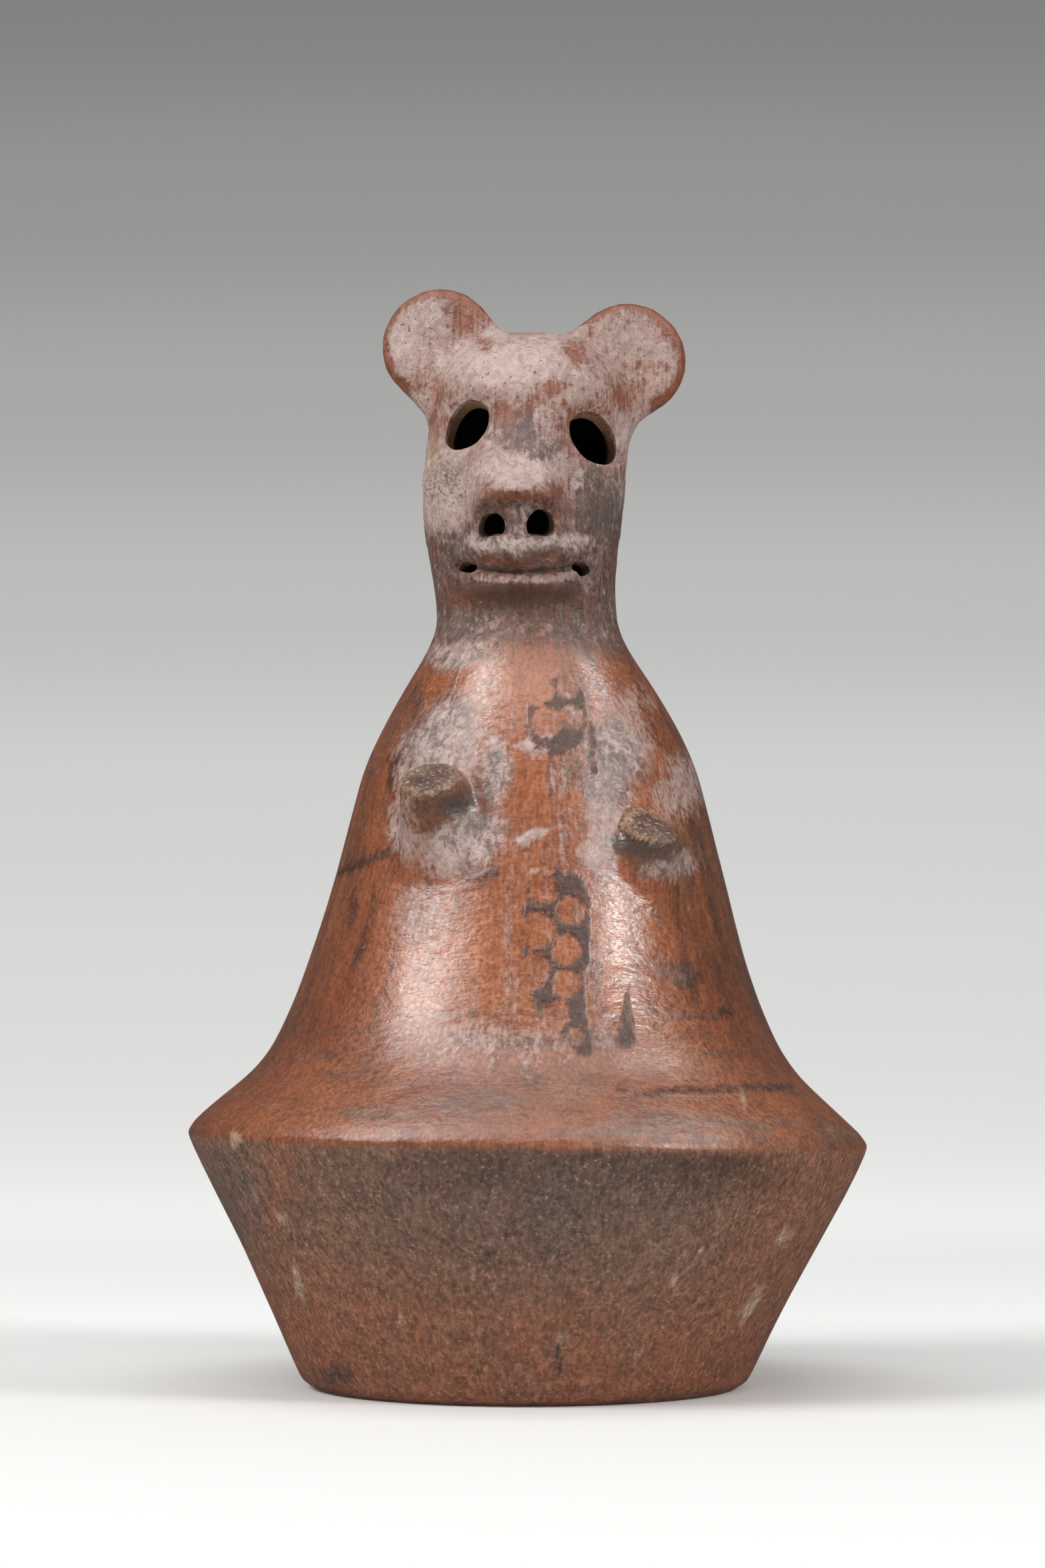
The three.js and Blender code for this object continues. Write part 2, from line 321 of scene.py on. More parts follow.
# Distance to a stump: a cone about its aim, flattened a little, cut by the plane of the break.
def stumpField(x, y, z, stump):
    aim, across, up = stumpAxes(stump)
    d = np.stack([x, y, z], -1) - stump["root"]
    h, a, b = d @ aim, d @ across, d @ up
    radius = stump["rootRadius"] + (stump["endRadius"] - stump["rootRadius"]) * h / stump["length"]
    side = np.hypot(a, b / stump["flat"]) - radius
    end = h - stump["length"] + breaking["tilt"] * a
    return np.maximum(-softMin(-side, -end, breaking["edge"]), -h - breaking["buried"])


# Depth of the face's front at a place seen from the front: the turned radius and the face's reach.
def frontAt(x, z):
    xs = x - leanAt(z)
    r = hermite(z, form["heights"], form["radii"], form["slopes"])[0]
    return -np.sqrt(np.maximum(r * r - xs * xs, 1)) - faceReach(xs, z)


# Radius of a hole's outline at an angle: its stated radii, eased from one to the next all the way round.
def outlineRadius(hole, angle):
    radii = np.array(hole["radii"])
    at = (angle / (math.pi / 4)) % 8
    k = np.floor(at).astype(int) % 8
    t = at - np.floor(at)
    before, here, after, beyond = (radii[(k + s) % 8] for s in (-1, 0, 1, 2))
    turn = (after - before) / 2
    coming = (beyond - here) / 2
    return cubic(t, here, after, turn, coming)


# How far a place lies outside a hole's outline, seen from the front.
def holeGap(x, z, hole):
    dx, dz = x - hole["x"], z - hole["z"]
    return np.hypot(dx, dz) - outlineRadius(hole, np.arctan2(dz, dx))


# Field of the whole outside: below 0 in the clay. The turned body, its face, ears and stumps, blended.
def clayField(x, y, z):
    xs = x - leanAt(z)
    zs = z + form["rimTilt"] * x * bell(z, form["rimHeight"], form["rimFade"])
    ys = y + faceReach(xs, zs) * faceShare(y, z)
    rho = np.hypot(xs, ys)
    r, slope = hermite(zs, form["heights"], form["radii"], form["slopes"])
    side = (rho - r) / np.sqrt(1 + np.minimum(slope, 1.2) ** 2)
    spring, skull = form["heights"][-1], form["radii"][-1]
    rise = np.maximum(zs - spring, 0) / (form["skullTop"] - spring)
    p = form["skullRound"]
    dome = (((rho / skull) ** p + rise**p) ** (1 / p) - 1) * form["domeScale"]
    field = np.where(zs < spring, side, dome)
    field = -softMin(-field, zs, form["footRound"])
    width = ears["blend"] + ears["frontBlend"] * ease(np.abs(y - ears["middle"]), 3, 9)
    for k in (0, 1):
        field = softMin(field, earField(x, y, z, k), width)
    for stump in stumps:
        field = softMin(field, stumpField(x, y, z, stump), breaking["blend"])
    for hole in holes:
        gap = np.maximum(holeGap(x, z, hole), 0)
        field += piercing["edge"] * bell(gap, 0, piercing["edgeSpread"]) * (y < -8)
    return field


# Slope of the field by central differences.
def fieldSlope(p, step=0.05):
    g = np.empty_like(p)
    for k in range(3):
        d = np.zeros(3)
        d[k] = step
        g[:, k] = (clayField(*(p + d).T) - clayField(*(p - d).T)) / (2 * step)
    return g


# Moves points along the field's slope until the field is 0.
def settle(p, rounds):
    for _ in range(rounds):
        f = clayField(*p.T)
        g = fieldSlope(p)
        p = p - g * np.clip(f / np.maximum((g * g).sum(1), 0.2), -1.5, 1.5)[:, None]
    return p


# Where a place shows in the photograph's frame, in pixels.
def inPhoto(x, y, z):
    pitch = math.radians(view["pitch"])
    dx, dy, dz = x - view["x"], y + view["distance"], z - view["height"]
    forward = dy * math.cos(pitch) + dz * math.sin(pitch)
    up = dz * math.cos(pitch) - dy * math.sin(pitch)
    return view["width"] / 2 + view["focal"] * dx / forward, view["tall"] / 2 - view["focal"] * up / forward


# Rows and columns of the skins, how far the columns crowd at the face and the ears, and rows over each height
grid = dict(
    columns=272, innerColumns=72, innerRows=84, skullRows=57, flatRows=9, earSpan=36.0,
    faceCrowd=1.7, faceSpan=62, earCrowd=1.0, earWidth=16,
    spans=((0, 3.2, 6), (3.2, 51, 24), (51, 60, 20), (60, 82, 20), (82, 110, 22), (110, 142, 46),
           (142, 170, 26), (170, 176, 9), (176, 201, 62), (201, 218, 28)),
)


# Angles round the vessel from the back, crowded at the face and along the ears.
def columnAngles(count):
    fine = np.linspace(-180, 180, 7201)
    density = 1 + grid["faceCrowd"] * np.exp(-((fine / grid["faceSpan"]) ** 4))
    density = density + grid["earCrowd"] * bell(np.abs(fine), 90, grid["earWidth"])
    share = np.concatenate([[0], np.cumsum((density[1:] + density[:-1]) / 2)])
    return np.interp(np.arange(count) / count, share / share[-1], fine)


# Heights and radii of the rows: out along the underside, up the half-section, over the skull.
def rowSections():
    z = np.concatenate([np.linspace(a, b, n, endpoint=False) for a, b, n in grid["spans"]])
    r = hermite(z, form["heights"], form["radii"], form["slopes"])[0]
    flat = np.linspace(0, r[0], grid["flatRows"])[1:-1]
    angle = np.linspace(0, math.pi / 2, grid["skullRows"])[:-1]
    power = 2 / form["skullRound"]
    domeR = form["radii"][-1] * np.cos(angle) ** power
    domeZ = form["heights"][-1] + (form["skullTop"] - form["heights"][-1]) * np.sin(angle) ** power
    return np.concatenate([np.zeros(len(flat)), z, domeZ]), np.concatenate([flat, r, domeR])


# Draws the upper rows out along each ear: a share of the way from the skull to the ear's outline by column.
def drawEars(x, y, z, theta, along):
    for k, side in enumerate((-1, 1)):
        phi = (np.abs(theta) - 90) / grid["earSpan"]
        own = (np.sign(theta) == side) & (np.abs(phi) < 1)
        beta = np.clip(phi, -1, 1) * math.pi / 2
        share = np.cos(beta) ** ears["fill"] * within(along, (0.0, 0.12, 0.86, 0.99)) * own
        first, last = ears["turns"][k]
        angle = np.radians(first + (last - first) * ease(along, 0.08, 0.92))
        ox = ears["lobeX"][k] + ears["lobeRadius"][k] * np.cos(angle)
        oz = ears["lobeZ"][k] + ears["lobeRadius"][k] * np.sin(angle)
        oy = ears["middle"] + ears["sweep"] * np.maximum(np.abs(ox) - ears["sweepFrom"], 0)
        thick = ears["half"] * np.sign(phi) * np.abs(np.sin(beta)) ** ears["fill"]
        x = x + share * (ox - x)
        z = z + share * (oz - z)
        y = y + ease(share, 0, 0.4) * (oy + thick - y)
    return x, y, z


# Draws the skin out into a stump: the middle of its root goes to the break, the rest up its sides.
def drawStump(p, stump):
    aim, across, up = stumpAxes(stump)
    d = p - stump["root"]
    h, a, b = d @ aim, d @ across, d @ up
    rho = np.hypot(a, b / stump["flat"])
    share = rho / (stump["rootRadius"] * 1.12)
    near = (share < 1) & (np.abs(h) < 14)
    top = ease(1 - share, 0.0, 0.5)
    end = stump["endRadius"]
    onSide = end + (share - 0.5) / 0.5 * (rho / np.maximum(share, 1e-6) - end)
    radius = np.where(share < 0.5, share / 0.5 * end, onSide)
    scale = np.where(near, radius / np.maximum(rho, 1e-6), 1)
    lift = np.where(near, h + top * (stump["length"] - h), h)
    moved = np.array(stump["root"]) + (a * scale)[:, None] * across
    return moved + (b * scale)[:, None] * up + lift[:, None] * aim


# Evens out the points of a drawn region along the surface: each goes part of the way to its neighbours' mean.
def even(p, weight, rows, columns, rounds):
    q = p.reshape(rows, columns, 3)
    w = weight.reshape(rows, columns, 1)
    for _ in range(rounds):
        mean = (np.roll(q, 1, 1) + np.roll(q, -1, 1)) / 4
        mean[1:-1] += (q[2:] + q[:-2]) / 4
        mean[0], mean[-1] = q[0], q[-1]
        q = q + 0.5 * w * (mean - q)
    return q.reshape(-1, 3)


# Triangles and quads of a closed grid of rings with one point at each end.
def skinFaces(rows, columns, inward):
    i = np.arange(rows - 1)[:, None] * columns
    j = np.arange(columns)[None, :]
    n = (j + 1) % columns
    quads = np.stack([i + j, i + n, i + columns + n, i + columns + j], -1).reshape(-1, 4)
    first, last = rows * columns, rows * columns + 1
    c = np.arange(columns)
    bottom = np.stack([np.full(columns, first), (c + 1) % columns, c], -1)
    offset = (rows - 1) * columns
    top = np.stack([np.full(columns, last), offset + c, offset + (c + 1) % columns], -1)
    if inward:
        quads, bottom, top = quads[:, ::-1], bottom[:, ::-1], top[:, ::-1]
    return quads, np.concatenate([bottom, top])


# Rings of the outside, drawn out into ears and stumps, then settled on the field.
def outerSkin():
    rowZ, rowR = rowSections()
    theta = columnAngles(grid["columns"])
    rows, columns = len(rowZ), len(theta)
    z = np.repeat(rowZ, columns)
    r = np.repeat(rowR, columns)
    t = np.tile(theta, rows)
    x = r * np.sin(np.radians(t)) + leanAt(z)
    y = -r * np.cos(np.radians(t))
    z = z - form["rimTilt"] * x * bell(z, form["rimHeight"], form["rimFade"]) * ease(z, 0, 4)
    length = np.concatenate([[0], np.cumsum(np.hypot(np.diff(rowZ), np.diff(rowR)))])
    start = length[np.searchsorted(rowZ, 208)]
    along = np.repeat(np.clip((length - start) / (length[-1] - start), 0, 1), columns)
    y = y - faceReach(x, z) * faceShare(y, z)
    x, y, z = drawEars(x, y, z, t, along)
    p = np.stack([x, y, z], -1)
    for stump in stumps:
        p = drawStump(p, stump)
    body = z > 0.01
    drawn = ease(along, 0.02, 0.1) * (1 - ease(along, 0.9, 0.97))
    for stump in stumps:
        d = np.linalg.norm(p - np.array(stump["root"]), axis=1)
        drawn = np.maximum(drawn, 1 - ease(d, 13, 18))
    p[body] = settle(p[body], 4)
    for _ in range(4):
        p = even(p, drawn, rows, columns, 4)
        p[body] = settle(p[body], 2)
    ends = np.array([[0, 0, 0], [leanAt(239.0), 0, form["skullTop"]]])
    ends[1:] = settle(ends[1:], 4)
    print("stage 2: outside skin", rows, "x", columns)
    return p, ends, rows, columns


# Rings of the hollow: the outside's radius less the wall measured square to the slope, under a set-in dome.
def innerSkin():
    columns = grid["innerColumns"]
    spring, skull = form["heights"][-1], form["radii"][-1]
    z = np.linspace(form["floor"], spring, grid["innerRows"])
    r, slope = hermite(z, form["heights"], form["radii"], form["slopes"])
    r = r - form["wall"] * np.hypot(1, slope)
    angle = np.linspace(0, math.pi / 2, 14)[1:-1]
    power = 2 / form["skullRound"]
    domeR = (skull - form["wall"]) * np.cos(angle) ** power
    domeZ = spring + (form["skullTop"] - spring - form["wall"]) * np.sin(angle) ** power
    flat = np.array([0.3, 0.6, 0.9]) * r[0]
    rowZ = np.concatenate([np.full(3, form["floor"]), z, domeZ])
    rowR = np.concatenate([flat, r, domeR])
    theta = np.linspace(-math.pi, math.pi, columns, endpoint=False)
    zz = np.repeat(rowZ, columns)
    rr = np.repeat(rowR, columns)
    tt = np.tile(theta, len(rowZ))
    x = rr * np.sin(tt) + leanAt(zz)
    y = -rr * np.cos(tt)
    zz = zz - form["rimTilt"] * x * bell(zz, form["rimHeight"], form["rimFade"])
    p = np.stack([x, y, zz], -1)
    ends = np.array([[0, 0, form["floor"]], [leanAt(235.0), 0, form["skullTop"] - form["wall"]]])
    return p, ends, len(rowZ), columns


# A mesh object from points in millimetres and lists of quads and triangles.
def meshObject(name, points, quads, triangles):
    mesh = bpy.data.meshes.new(name)
    counts = np.concatenate([np.full(len(quads), 4), np.full(len(triangles), 3)]).astype(np.int32)
    corners = np.concatenate([quads.ravel(), triangles.ravel()]).astype(np.int32)
    starts = np.concatenate([[0], np.cumsum(counts)[:-1]]).astype(np.int32)
    mesh.vertices.add(len(points))
    mesh.vertices.foreach_set("co", (points * mm).astype(np.float32).ravel())
    mesh.loops.add(len(corners))
    mesh.loops.foreach_set("vertex_index", corners)
    mesh.polygons.add(len(counts))
    mesh.polygons.foreach_set("loop_start", starts)
    mesh.polygons.foreach_set("loop_total", counts)
    mesh.update(calc_edges=True)
    mesh.validate()
    thing = bpy.data.objects.new(name, mesh)
    bpy.context.scene.collection.objects.link(thing)
    return thing


# A hole's cutter: its outline drawn on the face and carried along the tool's direction, wider to the outside.
def holeCutter(hole):
    around, rings = piercing["around"], piercing["rings"]
    a = np.linspace(0, 2 * math.pi, around, endpoint=False)
    r = outlineRadius(hole, a)
    dx, dz = r * np.cos(a), r * np.sin(a)
    front = frontAt(hole["x"] + dx, hole["z"] + dz)
    turn, rise = math.radians(hole["turn"]), math.radians(hole["rise"])
    out = np.array([math.sin(turn) * math.cos(rise), -math.cos(turn) * math.cos(rise), math.sin(rise)])
    t = np.linspace(-hole["reach"], piercing["outside"], rings)[:, None]
    flare = 1 + piercing["flare"] * np.clip(t, -6, 2)
    p = np.stack([hole["x"] + flare * dx, front + 0 * t, hole["z"] + flare * dz], -1) + t[..., None] * out
    p = p.reshape(-1, 3)
    rough = piercing["rough"] * cloud(*p.T, piercing["roughSize"], 2, 40)
    p = p + np.stack([rough * np.tile(np.cos(a), rings), 0 * rough, rough * np.tile(np.sin(a), rings)], -1)
    p = p.reshape(rings, around, 3)
    ends = np.stack([p[0].mean(0), p[-1].mean(0)])
    quads, caps = skinFaces(rings, around, False)
    return np.concatenate([p.reshape(-1, 3), ends]), quads, caps


# Height and size of each unevenness in millimetres, and where the crust and the scar show in the photograph's
# frame: middle, half-width and half-height in pixels
relief = dict(
    sway=0.3, swaySize=46, hand=0.1, handSize=13, pitting=0.13, pittingSize=2.4,
    crustAt=(660, 727, 46, 48), crust=0.5, crustRough=0.85, crustSize=2.2,
    breakRough=0.75, breakSize=3.2,
    scarAt=(690, 1204, 26, 18), scar=0.5, scarRough=0.9, scarSize=2.2,
)


# Dents, crust and broken clay as a height along the normal in millimetres: noise of each size by its share.
def reliefAt(p, n):
    x, y, z = p.T
    px, py = inPhoto(x, y, z)
    facing = ease(-n[:, 1], 0.0, 0.3)
    high = relief["sway"] * cloud(x, y, z, relief["swaySize"], 2, 3)
    high += relief["hand"] * cloud(x, y, z, relief["handSize"], 2, 5)
    high += relief["pitting"] * ease(z, 176, 190) * cloud(x, y, z, relief["pittingSize"], 2, 7)
    crust = oval(px, py, relief["crustAt"]) * facing
    high += crust * (relief["crust"] + relief["crustRough"] * cloud(x, y, z, relief["crustSize"], 3, 9))
    for stump in stumps:
        aim, across, up = stumpAxes(stump)
        d = p - np.array(stump["root"])
        broken = ease(n @ aim, 0.72, 0.92) * ease(d @ aim, stump["length"] - 2.5, stump["length"] - 1)
        broken = broken * (np.hypot(d @ across, d @ up) < stump["rootRadius"])
        high += broken * (relief["breakRough"] * cloud(x, y, z, relief["breakSize"], 3, 11))
    scar = oval(px, py, relief["scarAt"]) * facing
    high += scar * (relief["scarRough"] * cloud(x, y, z, relief["scarSize"], 2, 13) - relief["scar"])
    return high


outer, outerEnds, outerRows, outerColumns = outerSkin()
normals = fieldSlope(outer)
normals /= np.linalg.norm(normals, axis=1)[:, None]
outer = outer + (reliefAt(outer, normals) * ease(outer[:, 2], 0.5, 3))[:, None] * normals
inner, innerEnds, innerRows, innerColumns = innerSkin()
outerQuads, outerCaps = skinFaces(outerRows, outerColumns, False)
innerQuads, innerCaps = skinFaces(innerRows, innerColumns, True)
shift = len(outer) + 2
shell = meshObject(
    "shell",
    np.concatenate([outer, outerEnds, inner, innerEnds]),
    np.concatenate([outerQuads, innerQuads + shift]),
    np.concatenate([outerCaps, innerCaps + shift]),
)
print("stage 3: shell of", len(shell.data.vertices), "points")

for k, hole in enumerate(holes):
    cutter = meshObject(f"cutter{k}", *holeCutter(hole))
    cut = shell.modifiers.new(f"hole{k}", "BOOLEAN")
    cut.operation = "DIFFERENCE"
    cut.solver = "MANIFOLD"
    cut.object = cutter
graph = bpy.context.evaluated_depsgraph_get()
vesselMesh = bpy.data.meshes.new_from_object(shell.evaluated_get(graph))
for thing in [shell] + [o for o in bpy.data.objects if o.name.startswith("cutter")]:
    bpy.data.objects.remove(thing)
vesselMesh.name = "vesselSkin"
vessel = bpy.data.objects.new("vesselSkin", vesselMesh)
bpy.context.scene.collection.objects.link(vessel)
vesselMesh.polygons.foreach_set("use_smooth", np.ones(len(vesselMesh.polygons), bool))
vesselMesh.set_sharp_from_angle(angle=math.radians(55))
vesselMesh.calc_loop_triangles()
print("stage 4: pierced", len(vesselMesh.vertices), "points", len(vesselMesh.loop_triangles), "triangles")


# Linear colour from display values of 0 to 255.
def shade(r, g, b):
    c = np.array([r, g, b]) / 255
    return np.where(c < 0.04045, c / 12.92, ((c + 0.055) / 1.055) ** 2.4)


tone = dict(
    orange=shade(158, 92, 56),
    red=shade(134, 73, 48),
    brown=shade(92, 57, 40),
    paint=shade(62, 35, 22),
    buff=shade(150, 120, 104),
    wall=shade(132, 94, 74),
    rust=shade(150, 92, 64),
    soot=shade(112, 90, 77),
    film=shade(170, 143, 134),
    flake=shade(206, 184, 176),
    plum=shade(110, 82, 84),
    # under: darker bare clay laid as painted shade under the stumps
    under=shade(98, 70, 56),
    plumDark=shade(76, 52, 46),
    # grime: dark grey of dirt, also laid as painted shade in the mouth's groove, under the lower lip, under
    # the right stump and on the hole walls
    grimeAndShade=shade(84, 71, 64),
    crust=shade(210, 186, 164),
    chip=shade(178, 148, 124),
    core=shade(150, 122, 104),
    tan=shade(176, 138, 108),
    # inside: near-black painted shade for the unlit hollow and the deep parts of the holes
    inside=shade(38, 30, 26),
    holeWall=shade(150, 112, 78),
)

# Painted dots of the chest in the photograph's frame: middle and half-width in pixels, and strength
dots = (
    (806, 1033, 24, 1.0), (853, 1031, 18, 0.9), (818, 1085, 24, 0.9), (858, 1076, 21, 0.8),
    (816, 1136, 20, 0.4), (813, 1287, 28, 1.0), (853, 1300, 13, 0.9), (814, 1335, 25, 0.8),
    (807, 1396, 27, 1.0), (857, 1365, 22, 1.0), (850, 1425, 22, 1.0), (800, 1457, 25, 1.0),
    (850, 1476, 22, 1.0), (834, 1523, 22, 0.9), (862, 1555, 17, 0.6),
)

# Dark painted ground and strokes: two ends, half-width at each end in pixels, and strength
strokes = (
    (837, 1062, 834, 1088, 46, 46, 0.9), (887, 1090, 893, 1160, 8, 5, 0.8),
    (846, 1308, 838, 1350, 18, 46, 0.9), (836, 1350, 834, 1440, 50, 50, 1.0),
    (833, 1440, 842, 1505, 46, 38, 0.95), (846, 1505, 876, 1572, 34, 14, 0.95),
    (944, 1472, 940, 1562, 5, 18, 0.66), (985, 1450, 1034, 1466, 20, 28, 0.44),
    (985, 1528, 1095, 1520, 5, 10, 0.7), (920, 1640, 1182, 1630, 6, 9, 0.75),
    (508, 1310, 582, 1278, 7, 8, 0.8), (529, 1335, 531, 1380, 6, 5, 0.7),
    (563, 1328, 561, 1376, 5, 5, 0.7), (536, 1250, 538, 1262, 8, 6, 0.6),
    (700, 1320, 744, 1304, 10, 16, 0.5), (583, 1130, 588, 1200, 6, 7, 0.6),
    (690, 1005, 676, 1062, 8, 6, 0.6), (950, 1010, 985, 1110, 8, 10, 0.5),
    (985, 1060, 1010, 1150, 7, 6, 0.4), (660, 1390, 690, 1392, 14, 12, 0.3),
)

# Pale bloom: middle, half-width and half-height in pixels, tilt in degrees, and amount. On the muzzle's top
# and along the upper lip it is partly painted light, paler where these faces turn up to the light
bloomAndLightOvals = (
    (590, 500, 80, 70, 30, 0.88), (960, 520, 85, 70, -30, 0.7), (760, 545, 120, 52, 0, 0.95),
    (770, 700, 80, 28, 0, 0.95), (735, 815, 48, 14, 0, 0.9), (780, 819, 46, 12, 0, 0.85),
    (842, 812, 60, 14, -8, 0.85), (690, 690, 50, 30, 20, 0.7), (845, 700, 46, 26, -30, 0.6),
    (665, 745, 52, 60, 0, 0.8), (694, 980, 66, 26, 0, 0.62), (676, 1092, 52, 44, 0, 0.66),
    (660, 1130, 62, 50, 10, 0.68), (612, 1215, 26, 70, 0, 0.8), (690, 1265, 70, 42, 20, 0.78),
    (745, 1160, 24, 60, 0, 0.6), (925, 1120, 55, 55, -10, 0.66), (905, 1215, 30, 56, 0, 0.6),
    (895, 1282, 24, 20, 0, 0.8), (1000, 1290, 50, 34, 0, 0.55), (1020, 1180, 40, 60, -20, 0.5),
    (950, 1060, 30, 40, -20, 0.4), (800, 1255, 30, 8, 0, 0.7), (808, 1116, 36, 14, 0, 0.6),
    (795, 975, 90, 30, 0, 0.12), (640, 1370, 60, 60, 0, 0.35), (700, 1560, 120, 40, 0, 0.32),
    (1000, 860, 50, 60, 0, 0.4),
)

# Dark grey grime, and painted shade along the upper lip's lower edge and under the right stump, laid the same
# way
grimeAndShadeOvals = (
    (772, 648, 44, 40, 0, 0.44), (735, 640, 18, 36, 0, 0.4), (812, 676, 44, 14, 20, 0.7),
    (903, 760, 40, 62, 0, 0.9), (885, 720, 26, 22, 0, 0.7), (775, 762, 66, 26, 0, 0.4),
    (970, 1268, 50, 14, 6, 0.8), (650, 1105, 70, 56, 0, 0.42), (706, 1240, 60, 50, 0, 0.5),
    (918, 1140, 56, 70, 0, 0.52), (992, 1292, 54, 28, 0, 0.5), (690, 990, 60, 26, 0, 0.4),
    (790, 905, 110, 34, 0, 0.55), (668, 712, 22, 22, 0, 0.3), (900, 935, 50, 46, 0, 0.55),
    (690, 1205, 30, 20, 0, 0.85), (690, 1066, 34, 20, 0, 0.5), (690, 1250, 26, 30, 0, 0.5),
    (740, 1165, 30, 34, 0, 0.6), (945, 1270, 36, 18, 0, 0.8), (900, 1155, 42, 42, 0, 0.6),
    (720, 1308, 36, 24, 0, 0.5), (1000, 1270, 40, 26, 0, 0.4), (790, 850, 80, 10, 0, 0.5),
    (665, 905, 30, 60, 0, 0.4), (700, 1650, 90, 26, 0, 0.35),
)

# The mouth's line and the lower lip's edge in the photograph's frame, each bowed up at the ends, in pixels:
# painted shade goes in the groove and under the ledge, painted light on the ledge's top
mouthPaint = dict(middle=785, half=78, groove=857, grooveBow=6, ledge=874, ledgeBow=3)

# Places on the head where the red slip shows through the bloom, laid the same way
bares = (
    (863, 536, 16, 20, 20, 0.9), (830, 586, 26, 16, 0, 0.9), (758, 622, 18, 14, 0, 0.8),
    (727, 515, 9, 9, 0, 0.8), (694, 464, 34, 26, -30, 0.7), (1000, 482, 34, 20, -40, 0.8),
    (985, 545, 30, 16, -35, 0.6), (930, 535, 34, 7, -28, 0.5), (845, 640, 14, 34, 0, 0.6),
    (650, 650, 10, 50, 0, 0.8), (870, 700, 18, 12, -30, 0.5), (778, 742, 56, 8, 0, 1.0),
    (785, 842, 52, 8, 0, 0.6), (940, 600, 22, 30, 0, 0.5), (690, 895, 44, 18, 0, 0.5),
    (950, 560, 26, 14, -30, 0.4), (930, 690, 14, 30, 0, 0.5), (705, 690, 20, 10, 20, 0.5),
)

# Painted shade under the stumps: darker bare clay, laid the same way
undersides = ((640, 1212, 48, 32, 15, 0.85), (972, 1272, 54, 16, 8, 1.0), (704, 1190, 30, 26, 0, 0.6))

# Pale chips and scrapes of the wall and bell, laid the same way
chips = (
    (352, 1712, 8, 13, 0, 0.9), (424, 1826, 8, 8, 0, 0.7), (446, 1923, 7, 30, 10, 0.7),
    (1127, 1955, 9, 28, -35, 0.95), (1177, 1855, 12, 20, -20, 0.6), (711, 1911, 6, 6, 0, 0.8),
    (912, 1940, 6, 6, 0, 0.7), (528, 1851, 6, 7, 0, 0.7), (842, 2004, 7, 6, 0, 0.8),
    (1012, 1921, 8, 5, 20, 0.9), (664, 1275, 13, 9, 0, 0.95), (902, 1276, 12, 20, -30, 0.9),
    (800, 1303, 8, 5, 0, 0.9), (845, 1316, 9, 5, 20, 0.8), (1112, 1648, 3, 22, 4, 0.8),
    (600, 1980, 6, 5, 0, 0.6), (960, 2030, 6, 6, 0, 0.6), (380, 1790, 6, 16, 10, 0.6),
    (1050, 1880, 5, 7, 0, 0.6), (690, 2040, 6, 4, 0, 0.6),
)

# Small dark pits and cracks, and painted shadow under the right stump's break, laid the same way
pitsAndStumpShadow = (
    (736, 1879, 7, 6, 0, 1.0), (836, 2044, 4, 30, 0, 0.8), (690, 1210, 26, 14, 20, 0.9),
    (508, 2064, 34, 18, 0, 0.6), (948, 1264, 40, 12, -8, 0.8), (676, 716, 12, 18, 10, 0.6),
    (1056, 1190, 6, 8, 0, 0.6), (560, 1150, 6, 22, 0, 0.5),
)

# Larger zones in the photograph's frame: middle, half-width and half-height, or the pixels between which a
# zone comes in and goes out
zones = dict(
    crust=(660, 728, 44, 46),
    between=(782, 648, 46, 34),
    smoke=(815, 1805, 270, 105),
    smokeLeft=(345, 1790, 44, 90),
    rust=(415, 1780, 24, 80),
    rustRight=(1000, 1180),
    rimEdge=(560, 720, 1120, 1220),
    flankX=(985, 1040),
    flankY=(1000, 1050, 1450, 1560),
)

# Heights in millimetres between which each tone comes in, and for the middle also goes out
levels = dict(
    wall=(53.4, 55.4), rimStrip=(42, 50), flange=(74, 90), flangeBuff=(66, 84), flangeDull=(62, 84),
    bell=(76, 90), bellDark=(84, 100), middle=(58, 76, 150, 165),
    neck=(156, 170), neckGrime=(186, 200), head=(195, 212), headBloom=(186, 206),
)

# Sizes in millimetres of the noise that breaks up the tones, and how far it wavers the zones in pixels
waver = dict(patch=34, mottle=7, fleck=2.4, edge=5, pixels=9, near=0.4)


# Lays a colour over the others by a mask of 0 to 1.
def lay(base, colour, mask):
    return base + (colour - base) * np.clip(mask, 0, 1)[:, None]


# Greatest amount of a list of soft ovals at each place: each falls off as a Gaussian of its two half-sizes.
def spread(px, py, ovals):
    most = np.zeros_like(px)
    for cx, cy, rx, ry, tilt, amount in ovals:
        c, s = math.cos(math.radians(tilt)), math.sin(math.radians(tilt))
        u = ((px - cx) * c - (py - cy) * s) / rx
        v = ((px - cx) * s + (py - cy) * c) / ry
        most = np.maximum(most, amount * np.exp(-((u * u + v * v) ** 1.5) * 0.7))
    return most


# Painted pattern as a signed width in pixels: inside a stroke is above 0, and the dots are left out of it.
def pattern(px, py):
    ink = np.full_like(px, -60.0)
    for ax, ay, bx, by, wa, wb, strength in strokes:
        along = (px - ax) * (bx - ax) + (py - ay) * (by - ay)
        t = np.clip(along / ((bx - ax) ** 2 + (by - ay) ** 2), 0, 1)
        gap = wa + (wb - wa) * t - np.hypot(px - ax - t * (bx - ax), py - ay - t * (by - ay))
        ink = np.maximum(ink, np.minimum(gap, 14) * strength - (1 - strength) * 9)
    for cx, cy, r, strength in dots:
        gap = np.hypot(px - cx, py - cy) - r
        ink = np.minimum(ink, np.maximum(gap, -8) + (1 - strength) * 12)
    return ink
